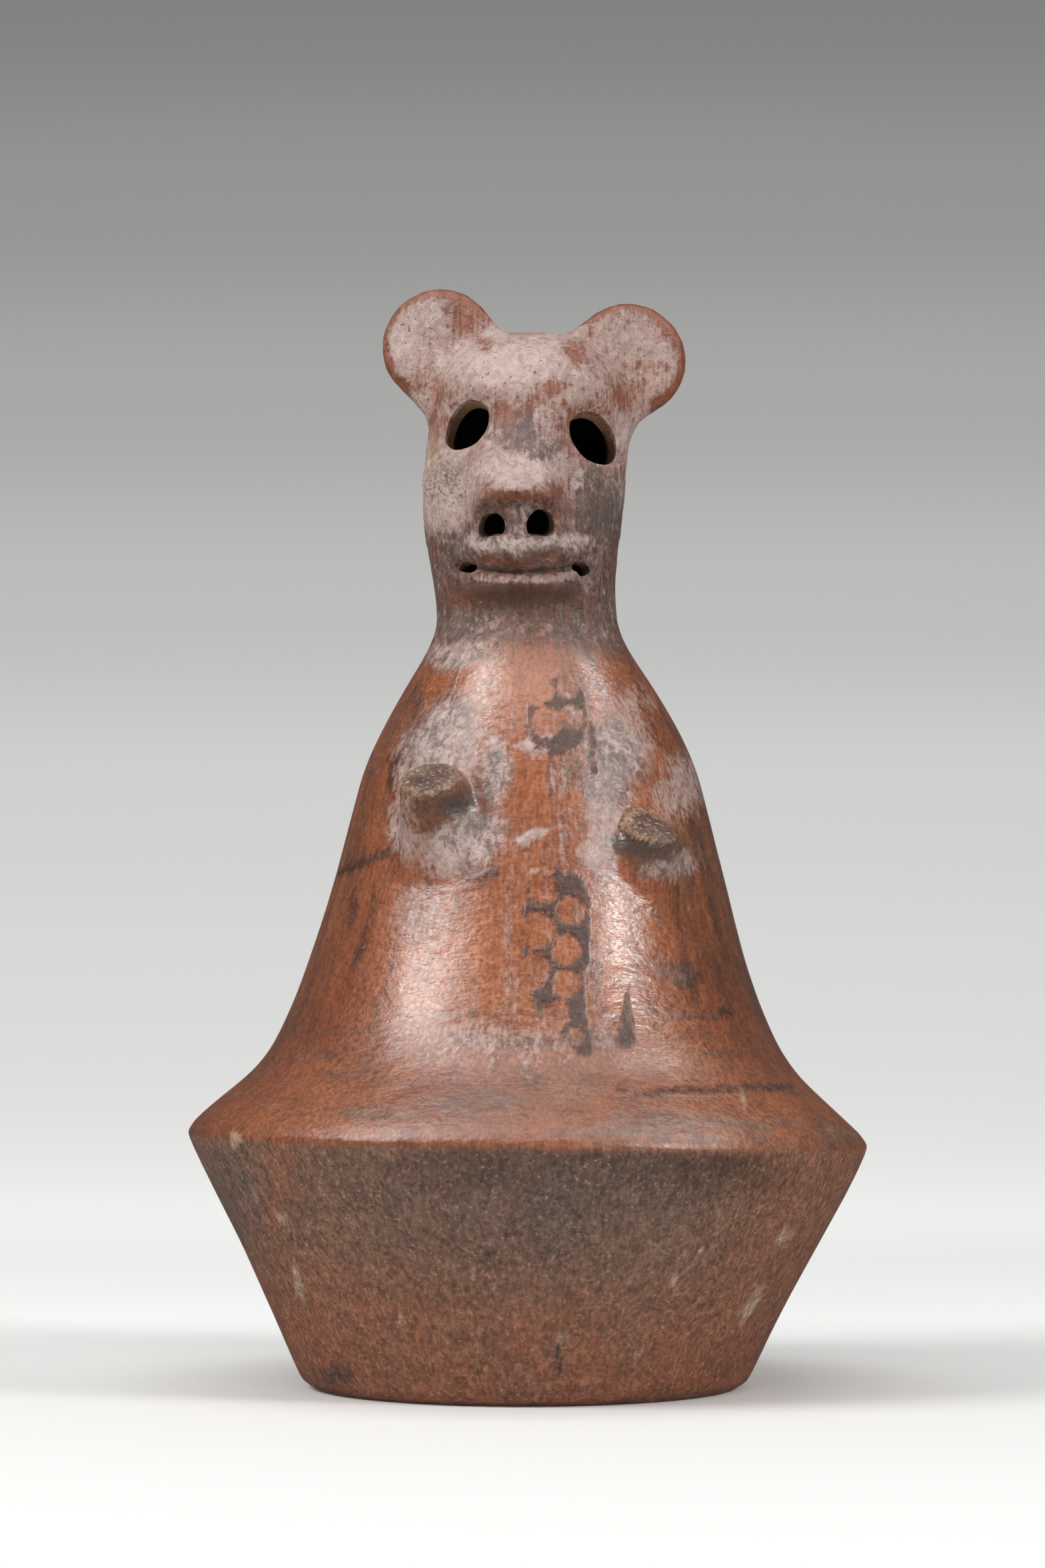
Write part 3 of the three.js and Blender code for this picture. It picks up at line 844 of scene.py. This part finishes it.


# Colour of each point of the skin, and its pattern, bloom with some painted light, grime with painted shade,
# dullness, grit and wall: each tone is laid over the last by a mask eased from height, noise, the turn of the
# skin or the zones above. The sides of the bell, the mouth, the undersides of the stumps and the hollow get
# painted shade.
def paintClay(p, n):
    x, y, z = p.T
    px, py = inPhoto(x, y, z)
    facing = ease(-n[:, 1], -0.05, 0.2) * (y < 5)
    depth = -clayField(x, y, z)
    theta = np.arctan2(x, -y)
    streak = cloud(theta * 26, theta * 0, z / 15, 1.1, 3, 21)
    sweepLine = cloud(theta * 4, theta * 0, z / 1.1, 1.6, 3, 22)
    patch = cloud(x, y, z, waver["patch"], 3, 23)
    mottle = cloud(x, y, z, waver["mottle"], 3, 25)
    fleck = cloud(x, y, z, waver["fleck"], 2, 27)
    wx = px + waver["pixels"] * cloud(x, y, z, waver["edge"], 2, 31)
    wy = py + waver["pixels"] * cloud(x, y, z, waver["edge"], 2, 33)
    nearX = px + waver["near"] * (wx - px)
    nearY = py + waver["near"] * (wy - py)

    colour = np.tile(tone["orange"], (len(x), 1))
    colour = lay(colour, tone["red"], 0.8 * ease(patch + 0.4 * streak, -0.5, 0.7))
    streaked = 0.55 * ease(streak + 0.5 * mottle, 0.25, 1.0)
    colour = lay(colour, tone["brown"], streaked * ease(z, *levels["bell"]))
    swept = 0.25 + 0.5 * ease(sweepLine + 0.4 * mottle, 0.0, 0.8)
    colour = lay(colour, tone["brown"], swept * (1 - ease(z, *levels["flange"])))
    worn = 0.4 * ease(sweepLine + fleck * 0.4, 0.1, 0.9)
    colour = lay(colour, tone["buff"], worn * (1 - ease(z, *levels["flangeBuff"])))
    # Painted shade: brown laid where the skin turns sideways, so the sides darken away from the front
    paintedSideShade = ease(np.abs(n[:, 0]), 0.55, 0.95)
    colour = lay(colour, tone["brown"], paintedSideShade * (0.45 + 0.3 * streak))
    cloudy = ease(np.abs(n[:, 0]), 0.3, 0.6) * ease(mottle + 0.5 * streak, 0.15, 0.7)
    colour = lay(colour, tone["plumDark"], 0.6 * cloudy * ease(z, *levels["bellDark"]))
    flank = ease(px, *zones["flankX"]) * within(py, zones["flankY"]) * facing
    colour = lay(colour, tone["brown"], 0.75 * flank * (0.8 + 0.4 * streak))

    low = 1 - ease(z + 0.5 * mottle + 0.02 * x, *levels["wall"])
    colour = lay(colour, tone["wall"], low)
    rusty = np.maximum(ease(36 - z + 10 * patch, -6, 30), 0.8 * oval(wx, wy, zones["rust"]) * facing)
    rusty = np.maximum(rusty, 0.7 * ease(wx, *zones["rustRight"]) * facing)
    colour = lay(colour, tone["rust"], low * np.clip(rusty * (0.8 + 0.5 * mottle), 0, 1))
    smoke = oval(wx, wy, zones["smoke"]) * facing
    smoke = np.maximum(smoke, 0.9 * oval(wx, wy, zones["smokeLeft"]) * facing)
    smoke = np.maximum(smoke, ease(patch, 0.1, 0.8) * (1 - facing))
    level = z + form["rimTilt"] * x
    edge = ease(level, *levels["rimStrip"]) * within(wx, zones["rimEdge"]) * facing
    colour = lay(colour, tone["brown"], low * np.clip(edge * (0.9 + 0.4 * mottle), 0, 1))
    colour = lay(colour, tone["soot"], low * np.clip(1.1 * smoke * (0.85 + 0.4 * mottle), 0, 1))

    neck = ease(z + 3 * patch, *levels["neck"])
    colour = lay(colour, tone["brown"], neck * (0.75 + 0.5 * streak) * (1 - 0.5 * ease(z, *levels["head"])))
    colour = lay(colour, tone["red"], 0.7 * ease(z, *levels["head"]))
    bloomAndLight = spread(wx, wy, bloomAndLightOvals) * facing
    bloomAndLight = np.maximum(bloomAndLight, neck * (0.3 + 0.12 * mottle))
    bloomAndLight = np.maximum(bloomAndLight, ease(z, *levels["headBloom"]) * (0.54 + 0.34 * mottle + 0.1 * fleck))
    middleWay = bell(x, 0, 30) * within(z, levels["middle"]) * facing
    bloomAndLight = np.maximum(bloomAndLight, middleWay * np.clip(0.2 + 0.2 * streak + 0.1 * mottle, 0, 0.5))
    ink = pattern(nearX, nearY) / view["perMm"] * facing - 6 * (1 - facing)
    bloomAndLight = bloomAndLight * (1 - 0.6 * ease(ink, -0.6, 0.4))
    # Grime and painted shade: the ovals along the upper lip's edge and under the right stump stand for shade
    grimeAndShade = spread(wx, wy, grimeAndShadeOvals) * facing
    grimeAndShade = np.maximum(grimeAndShade, neck * (0.42 + 0.2 * mottle) * (1 - ease(z, *levels["neckGrime"])))
    grimeAndShade = np.maximum(grimeAndShade, low * 0.08)
    between = oval(wx, wy, zones["between"]) * facing
    colour = lay(colour, tone["plum"], between * np.clip(0.75 + 0.5 * streak + 0.3 * mottle, 0, 1))
    bloomAndLight = bloomAndLight * (1 - between * np.clip(0.5 + 0.7 * streak, 0, 0.9))
    bare = spread(wx, wy, bares) * facing
    colour = lay(colour, tone["red"], bare)
    bloomAndLight = bloomAndLight * (1 - 0.75 * bare)
    grimeAndShade = grimeAndShade * (1 - 0.6 * bare)
    # Mouth: painted shade as a dark line in the groove and a darker band under the lower lip's ledge, where
    # the lips overhang; the pale bloom on the ledge's top is partly painted light
    along = (px - mouthPaint["middle"]) / mouthPaint["half"]
    across = ease(1.12 - np.abs(along), 0, 0.2) * facing
    groove = py - mouthPaint["groove"] + mouthPaint["grooveBow"] * along**2
    ledge = py - mouthPaint["ledge"] + mouthPaint["ledgeBow"] * along**2
    shelf = ease(groove, 0, 5) * (1 - ease(ledge, -2, 2)) * across
    shadeUnderLedge = ease(ledge, 1, 5) * (1 - ease(ledge, 20, 46)) * across
    bloomAndLight = np.maximum(bloomAndLight * (1 - 0.7 * shadeUnderLedge), 0.46 * shelf)
    grimeAndShade = np.maximum(grimeAndShade * (1 - shelf), 0.95 * np.maximum(bell(groove, -1, 3.4), 0.62 * shadeUnderLedge) * across)
    crust = oval(wx, wy, zones["crust"]) * facing
    colour = lay(colour, tone["crust"], 1.4 * crust)
    bloomAndLight = bloomAndLight * (1 - low)
    for k in (0, 1):
        ex, ez = x - ears["lobeX"][k], z - ears["lobeZ"][k]
        toRoot = ex * (ears["rootX"][k] - ears["lobeX"][k]) + ez * (ears["rootZ"][k] - ears["lobeZ"][k])
        past = np.hypot(ex, ez) - ears["lobeRadius"][k]
        rim = ease(past + 0.8 * mottle, -3.2, -1.0) * (1 - ease(toRoot, 20, 90)) * (past < 3)
        bloomAndLight = bloomAndLight * (1 - 0.75 * rim)
        colour = lay(colour, tone["red"], rim)

    # Painted shade under the stumps
    under = spread(nearX, nearY, undersides) * facing
    colour = lay(colour, tone["under"], under)
    bloomAndLight = bloomAndLight * (1 - 0.85 * under)
    chipped = ease(spread(nearX, nearY, chips) * facing, 0.3, 0.6)
    colour = lay(colour, tone["chip"], 0.85 * chipped)
    # Dark pits and cracks, with painted shadow under the right stump
    colour = lay(colour, tone["grimeAndShade"], ease(spread(nearX, nearY, pitsAndStumpShadow) * facing, 0.2, 0.7))
    broken = np.zeros_like(x)
    for stump in stumps:
        aim, across, up = stumpAxes(stump)
        d = p - np.array(stump["root"])
        out = np.hypot(d @ across, d @ up / stump["flat"]) / stump["endRadius"]
        on = ease(d @ aim + 0.4 * mottle, stump["length"] - 1.6, stump["length"] - 0.8) * (out < 1.25)
        colour = lay(colour, tone["core"], on)
        colour = lay(colour, tone["brown"], on * np.clip(stump["dark"] + 0.5 * (fleck + mottle), 0, 1))
        colour = lay(colour, tone["tan"], 0.8 * on * ease(out + 0.1 * mottle, 0.82, 0.96))
        broken = np.maximum(broken, on)
    bloomAndLight = bloomAndLight * (1 - broken)
    grimeAndShade = grimeAndShade * (1 - broken) + broken * 0.2

    grit = np.clip(broken + crust, 0, 1)
    dull = 0.26 + 0.14 * ease(ink, -0.3, 0.3) + 0.1 * (1 - ease(z, *levels["flangeDull"]))
    dull = dull + 0.12 * low + 0.16 * neck + 0.24 * bloomAndLight + 0.5 * grit
    inside = ease(depth, 0.9, 1.5)
    colour = lay(colour, tone["holeWall"], inside)
    # Painted shade: deeper than about 4 mm in, on the far hole walls and the whole inner skin of the hollow,
    # the clay turns near-black
    colour = lay(colour, tone["inside"], ease(depth, 3.2, 4.4))
    bloomAndLight = bloomAndLight * (1 - inside)
    grimeAndShade = grimeAndShade * (1 - inside) + 0.25 * inside
    dull = dull + inside * (0.9 - dull)
    masks = (np.clip(v, 0, 1) for v in (bloomAndLight, grimeAndShade, dull, grit * (1 - inside), low * (1 - inside)))
    return np.clip(colour, 0.004, 0.95), ink, *masks


count = len(vesselMesh.vertices)
flatPoints = np.empty(count * 3, np.float32)
flatNormals = np.empty(count * 3, np.float32)
vesselMesh.vertices.foreach_get("co", flatPoints)
vesselMesh.vertices.foreach_get("normal", flatNormals)
painted = paintClay(flatPoints.reshape(-1, 3).astype(float) / mm, flatNormals.reshape(-1, 3).astype(float))
layer = vesselMesh.attributes.new("slip", "FLOAT_COLOR", "POINT")
slipColour = np.concatenate([painted[0], np.ones((count, 1))], 1)
layer.data.foreach_set("color", slipColour.astype(np.float32).ravel())
for name, values in zip(("ink", "bloomAndLight", "grimeAndShade", "dullness", "grit", "wallSide"), painted[1:]):
    layer = vesselMesh.attributes.new(name, "FLOAT", "POINT")
    layer.data.foreach_set("value", values.astype(np.float32))
print("stage 5: painted")

# Sizes are of a noise's features in millimetres across X, Y and Z
finish = dict(
    fine=(0.9, 0.9, 0.9), middle=(4.5, 4.5, 4.5), patch=(1.5, 1.5, 1.7),
    ripple=(5, 5, 2.2), brush=(0.8, 0.8, 11), speck=(1.5, 1.5, 1.5),
    dust=(0.9, 0.9, 0.9), spot=(1.9, 1.9, 2.3), pit=(0.8, 0.8, 0.8),
    bumpDepth=0.0008, bumpStrength=0.6,
)

clay = bpy.data.materials.new("burnishedClay")
clay.use_nodes = True
nodes, links = clay.node_tree.nodes, clay.node_tree.links
shader = nodes["Principled BSDF"]
place = nodes.new("ShaderNodeTexCoord")


# A noise over Object coordinates with features of the given sizes.
def noiseOf(sizes, detail, rough=0.55, bend=0.0):
    scale = nodes.new("ShaderNodeMapping")
    scale.inputs["Scale"].default_value = tuple(1 / (v * mm) for v in sizes)
    links.new(place.outputs["Object"], scale.inputs["Vector"])
    made = nodes.new("ShaderNodeTexNoise")
    made.inputs["Scale"].default_value = 1
    made.inputs["Detail"].default_value = detail
    made.inputs["Roughness"].default_value = rough
    made.inputs["Distortion"].default_value = bend
    links.new(scale.outputs["Vector"], made.inputs["Vector"])
    return made.outputs["Fac"]


# A value carried from one range to another, eased.
def ranged(value, low, high, first=0.0, last=1.0):
    made = nodes.new("ShaderNodeMapRange")
    made.interpolation_type = "SMOOTHSTEP"
    made.inputs["From Min"].default_value = low
    made.inputs["From Max"].default_value = high
    made.inputs["To Min"].default_value = first
    made.inputs["To Max"].default_value = last
    links.new(value, made.inputs["Value"])
    return made.outputs["Result"]


# Two values joined by an operation; a plain number goes on the socket itself.
def joined(kind, a, b, tree=clay.node_tree):
    made = tree.nodes.new("ShaderNodeMath")
    made.operation = kind
    for k, v in ((0, a), (1, b)):
        if isinstance(v, (int, float)):
            made.inputs[k].default_value = v
        else:
            tree.links.new(v, made.inputs[k])
    return made.outputs["Value"]


# An attribute of the skin as a value.
def skinValue(name):
    made = nodes.new("ShaderNodeAttribute")
    made.attribute_name = name
    return made.outputs["Fac"]


# One colour laid over another by a mask.
def laid(base, colour, mask):
    made = nodes.new("ShaderNodeMix")
    made.data_type = "RGBA"
    links.new(mask, made.inputs["Factor"])
    links.new(base, made.inputs[6])
    made.inputs[7].default_value = (*colour, 1)
    return made.outputs[2]


fineNoise = noiseOf(finish["fine"], 4, 0.6)
middleNoise = noiseOf(finish["middle"], 5, 0.6)
patchNoise = noiseOf(finish["patch"], 5, 0.66, 0.5)
rippleNoise = noiseOf(finish["ripple"], 3)
brushNoise = noiseOf(finish["brush"], 3)
speckNoise = noiseOf(finish["speck"], 2)
spotNoise = noiseOf(finish["spot"], 6, 0.72, 0.6)
pitNoise = noiseOf(finish["pit"], 2)
dustNoise = noiseOf(finish["dust"], 3, 0.7)

slip = nodes.new("ShaderNodeAttribute")
slip.attribute_name = "slip"
streaky = ranged(brushNoise, 0.3, 0.7, 0.76, 1.2)
uneven = joined("MULTIPLY", streaky, ranged(middleNoise, 0.3, 0.7, 0.86, 1.12))
uneven = joined("MULTIPLY", uneven, ranged(fineNoise, 0.3, 0.7, 0.8, 1.18))
wallSide = skinValue("wallSide")
wallTone = joined("MULTIPLY", ranged(spotNoise, 0.28, 0.72, -0.34, 0.34), wallSide)
uneven = joined("MULTIPLY", uneven, joined("ADD", wallTone, 1.0))
base = nodes.new("ShaderNodeVectorMath")
base.operation = "SCALE"
links.new(slip.outputs["Color"], base.inputs[0])
links.new(uneven, base.inputs["Scale"])
roughEdge = joined("MULTIPLY", ranged(patchNoise, 0.25, 0.75, -1.0, 1.0), 0.6)
inkMask = joined("MULTIPLY", ranged(joined("ADD", skinValue("ink"), roughEdge), -0.6, 0.7), 0.93)
inkMask = joined("MULTIPLY", inkMask, ranged(middleNoise, 0.3, 0.5, 0.72, 1.0))
coloured = laid(base.outputs["Vector"], tone["paint"], inkMask)
# Film and flakes follow the bloom attribute, so they also lay the painted light on the muzzle's top, the
# upper lip and the lip's ledge
filmMask = joined("MULTIPLY", skinValue("bloomAndLight"), 1.3)
filmMask = joined("SUBTRACT", filmMask, ranged(patchNoise, 0.28, 0.72, 0.0, 0.7))
filmMask = ranged(joined("ADD", filmMask, ranged(brushNoise, 0.3, 0.7, -0.2, 0.2)), -0.2, 0.5, 0.0, 0.9)
filmMask = joined("MULTIPLY", filmMask, ranged(skinValue("bloomAndLight"), 0.03, 0.4))
flakeMask = joined("SUBTRACT", skinValue("bloomAndLight"), ranged(spotNoise, 0.28, 0.72, 0.42, 1.1))
flakeMask = ranged(flakeMask, -0.4, 0.4, 0.0, 0.9)
# The grime attribute also carries the painted shade of the mouth, the hole walls and the right stump's
# underside
grimeAndShadeMask = joined("SUBTRACT", skinValue("grimeAndShade"), ranged(spotNoise, 0.72, 0.28))
grimeAndShadeMask = ranged(joined("ADD", grimeAndShadeMask, ranged(brushNoise, 0.3, 0.7, -0.2, 0.2)), -0.55, 0.5, 0.0, 0.85)
grimeAndShadeMask = joined("MULTIPLY", grimeAndShadeMask, ranged(skinValue("grimeAndShade"), 0.03, 0.4))
coloured = laid(coloured, tone["film"], filmMask)
coloured = laid(coloured, tone["grimeAndShade"], grimeAndShadeMask)
coloured = laid(coloured, tone["flake"], flakeMask)
darkGrit = joined("MULTIPLY", skinValue("grit"), ranged(dustNoise, 0.48, 0.38, 0.0, 0.75))
paleGrit = joined("MULTIPLY", skinValue("grit"), ranged(dustNoise, 0.58, 0.66, 0.0, 0.8))
coloured = laid(coloured, tone["grimeAndShade"], darkGrit)
coloured = laid(coloured, tone["flake"], paleGrit)
pitMask = joined("MULTIPLY", ranged(pitNoise, 0.64, 0.7, 0.0, 0.8), ranged(skinValue("dullness"), 0.36, 0.5))
coloured = laid(coloured, tone["grimeAndShade"], pitMask)
coloured = laid(coloured, tone["crust"], ranged(speckNoise, 0.74, 0.79, 0.0, 0.5))
coloured = laid(coloured, tone["chip"], joined("MULTIPLY", wallSide, ranged(dustNoise, 0.6, 0.7, 0.0, 0.75)))
links.new(coloured, shader.inputs["Base Color"])
dullness = skinValue("dullness")
links.new(joined("ADD", dullness, ranged(fineNoise, 0.3, 0.7, -0.06, 0.1)), shader.inputs["Roughness"])
links.new(ranged(dullness, 0.28, 0.6, 0.9, 0.5), shader.inputs["Specular IOR Level"])
raised = joined("ADD", joined("MULTIPLY", rippleNoise, 0.65), joined("MULTIPLY", fineNoise, 0.12))
raised = joined("ADD", raised, joined("MULTIPLY", flakeMask, 0.22))
raised = joined("SUBTRACT", raised, joined("MULTIPLY", pitMask, 0.5))
raised = joined("ADD", raised, joined("MULTIPLY", patchNoise, ranged(dullness, 0.3, 0.66, 0.04, 2.4)))
raised = joined("ADD", raised, joined("MULTIPLY", patchNoise, joined("MULTIPLY", skinValue("grit"), 1.6)))
bump = nodes.new("ShaderNodeBump")
bump.inputs["Strength"].default_value = finish["bumpStrength"]
bump.inputs["Distance"].default_value = finish["bumpDepth"]
links.new(raised, bump.inputs["Height"])
links.new(bump.outputs["Normal"], shader.inputs["Normal"])
vesselMesh.materials.clear()
vesselMesh.materials.append(clay)
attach(vessel, "root")
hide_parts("vessel")
print("stage 6: material set")

stage = dict(near=-1.6, bend=0.5, bendRadius=1.2, top=2.4, half=2.6)


# Studio sweep: a floor that bends up into a back wall along a quarter circle.
def studioSweep():
    a = np.linspace(0, math.pi / 2, 24)
    radius = stage["bendRadius"]
    y = np.concatenate([[stage["near"]], stage["bend"] + radius * np.sin(a), [stage["bend"] + radius]])
    z = np.concatenate([[0], radius * (1 - np.cos(a)), [stage["top"]]])
    left = np.stack([np.full_like(y, -stage["half"]), y, z], -1)
    right = np.stack([np.full_like(y, stage["half"]), y, z], -1)
    i = np.arange(len(y) - 1)
    n = len(y)
    return np.concatenate([left, right]) / mm, np.stack([i, i + n, i + n + 1, i + 1], -1)


sweepPoints, sweepFaces = studioSweep()
floor = meshObject("studioFloor", sweepPoints, sweepFaces, np.empty((0, 3), int))
floor.data.polygons.foreach_set("use_smooth", np.ones(len(floor.data.polygons), bool))
paper = bpy.data.materials.new("paper")
paper.use_nodes = True
paperNodes, paperLinks = paper.node_tree.nodes, paper.node_tree.links
paperPlace = paperNodes.new("ShaderNodeTexCoord")
paperSplit = paperNodes.new("ShaderNodeSeparateXYZ")
paperLinks.new(paperPlace.outputs["Object"], paperSplit.inputs["Vector"])


# A grey that runs through stops of (share of the sweep, brightness).
def paperShade(share, stops):
    ramp = paperNodes.new("ShaderNodeValToRGB")
    ramp.color_ramp.interpolation = "EASE"
    while len(ramp.color_ramp.elements) < len(stops):
        ramp.color_ramp.elements.new(0.5)
    for element, (at, level) in zip(ramp.color_ramp.elements, stops):
        element.position = at
        element.color = (level, level, level * 0.985, 1)
    paperLinks.new(share, ramp.inputs["Fac"])
    return ramp.outputs["Color"]


# Stops of the paper's own grey and of its glow, and the slopes at which the share begins and how far it runs
backing = dict(
    slopeStart=0.1477,
    slopeSpan=0.4724,
    paper=((0, 0.88), (0.2, 0.88), (0.36, 0.2), (1, 0.1)),
    glow=((0, 0.05), (0.105, 0.04), (0.135, 0.11), (0.16, 0.23), (0.228, 0.38), (0.353, 0.59), (0.48, 0.54),
          (0.608, 0.43), (0.737, 0.33), (0.868, 0.25), (1, 0.18)),
)
# The share runs from the near floor to the top of the sweep by its slope from a point at lens height.
paperRise = joined("SUBTRACT", paperSplit.outputs["Z"], view["height"] * mm, paper.node_tree)
paperAway = joined("ADD", paperSplit.outputs["Y"], view["distance"] * mm, paper.node_tree)
paperSlope = joined("DIVIDE", paperRise, paperAway, paper.node_tree)
paperSlope = joined("ADD", paperSlope, backing["slopeStart"], paper.node_tree)
share = joined("DIVIDE", paperSlope, backing["slopeSpan"], paper.node_tree)
paperSkin = paperNodes["Principled BSDF"]
paperLinks.new(paperShade(share, backing["paper"]), paperSkin.inputs["Base Color"])
paperLinks.new(paperShade(share, backing["glow"]), paperSkin.inputs["Emission Color"])
paperSkin.inputs["Emission Strength"].default_value = 1.0
paperSkin.inputs["Roughness"].default_value = 0.9
paperSkin.inputs["Specular IOR Level"].default_value = 0.1
floor.data.materials.append(paper)
floor.visible_glossy = False

# Softboxes: turn from the front and rise in degrees, distance, width and height in metres, watts, and whether
# each gives light and sheen, light alone or sheen alone
softboxes = (
    dict(name="keyLeft", turn=-59, rise=36, away=1.1, wide=0.46, tall=0.38, power=6.2, gives="both"),
    dict(name="fillRight", turn=53, rise=27, away=1.1, wide=0.24, tall=0.3, power=4.8, gives="both"),
    dict(name="overhead", turn=-8, rise=74, away=1.25, wide=1.2, tall=0.9, power=7.0, gives="both"),
    dict(name="front", turn=-4, rise=24, away=1.5, wide=0.9, tall=0.8, power=3.4, gives="light"),
    dict(name="sheenLeft", turn=-67, rise=61, away=1.25, wide=0.24, tall=0.22, power=3.4, gives="sheen"),
    dict(name="sheenRight", turn=86, rise=54, away=1.25, wide=0.24, tall=0.22, power=2.8, gives="sheen"),
)
for box in softboxes:
    lamp = bpy.data.lights.new(box["name"], "AREA")
    lamp.shape = "RECTANGLE"
    lamp.size = box["wide"]
    lamp.size_y = box["tall"]
    lamp.energy = box["power"]
    holder = bpy.data.objects.new(box["name"], lamp)
    turn, rise = math.radians(box["turn"]), math.radians(box["rise"])
    out = np.array([math.sin(turn) * math.cos(rise), -math.cos(turn) * math.cos(rise), math.sin(rise)])
    holder.location = out * box["away"] + np.array([0, 0, 0.12])
    holder.rotation_euler = (math.pi / 2 - rise, 0, turn)
    holder.visible_glossy = box["gives"] != "light"
    holder.visible_diffuse = box["gives"] != "sheen"
    bpy.context.scene.collection.objects.link(holder)

world = bpy.data.worlds.new("studioAir")
world.use_nodes = True
world.node_tree.nodes["Background"].inputs["Color"].default_value = (1.0, 0.99, 0.98, 1)
world.node_tree.nodes["Background"].inputs["Strength"].default_value = 0.09
bpy.context.scene.world = world

lens = bpy.data.cameras.new("photoView")
lens.sensor_fit = "AUTO"
lens.sensor_width = 36
lens.lens = view["focal"] / view["tall"] * 36
lens.clip_start = 0.02
camera = bpy.data.objects.new("photoView", lens)
camera.location = (view["x"] * mm, -view["distance"] * mm, view["height"] * mm)
camera.rotation_euler = (math.radians(90 + view["pitch"]), 0, 0)
bpy.context.scene.collection.objects.link(camera)
bpy.context.scene.camera = camera
bpy.context.scene.view_settings.view_transform = "Standard"
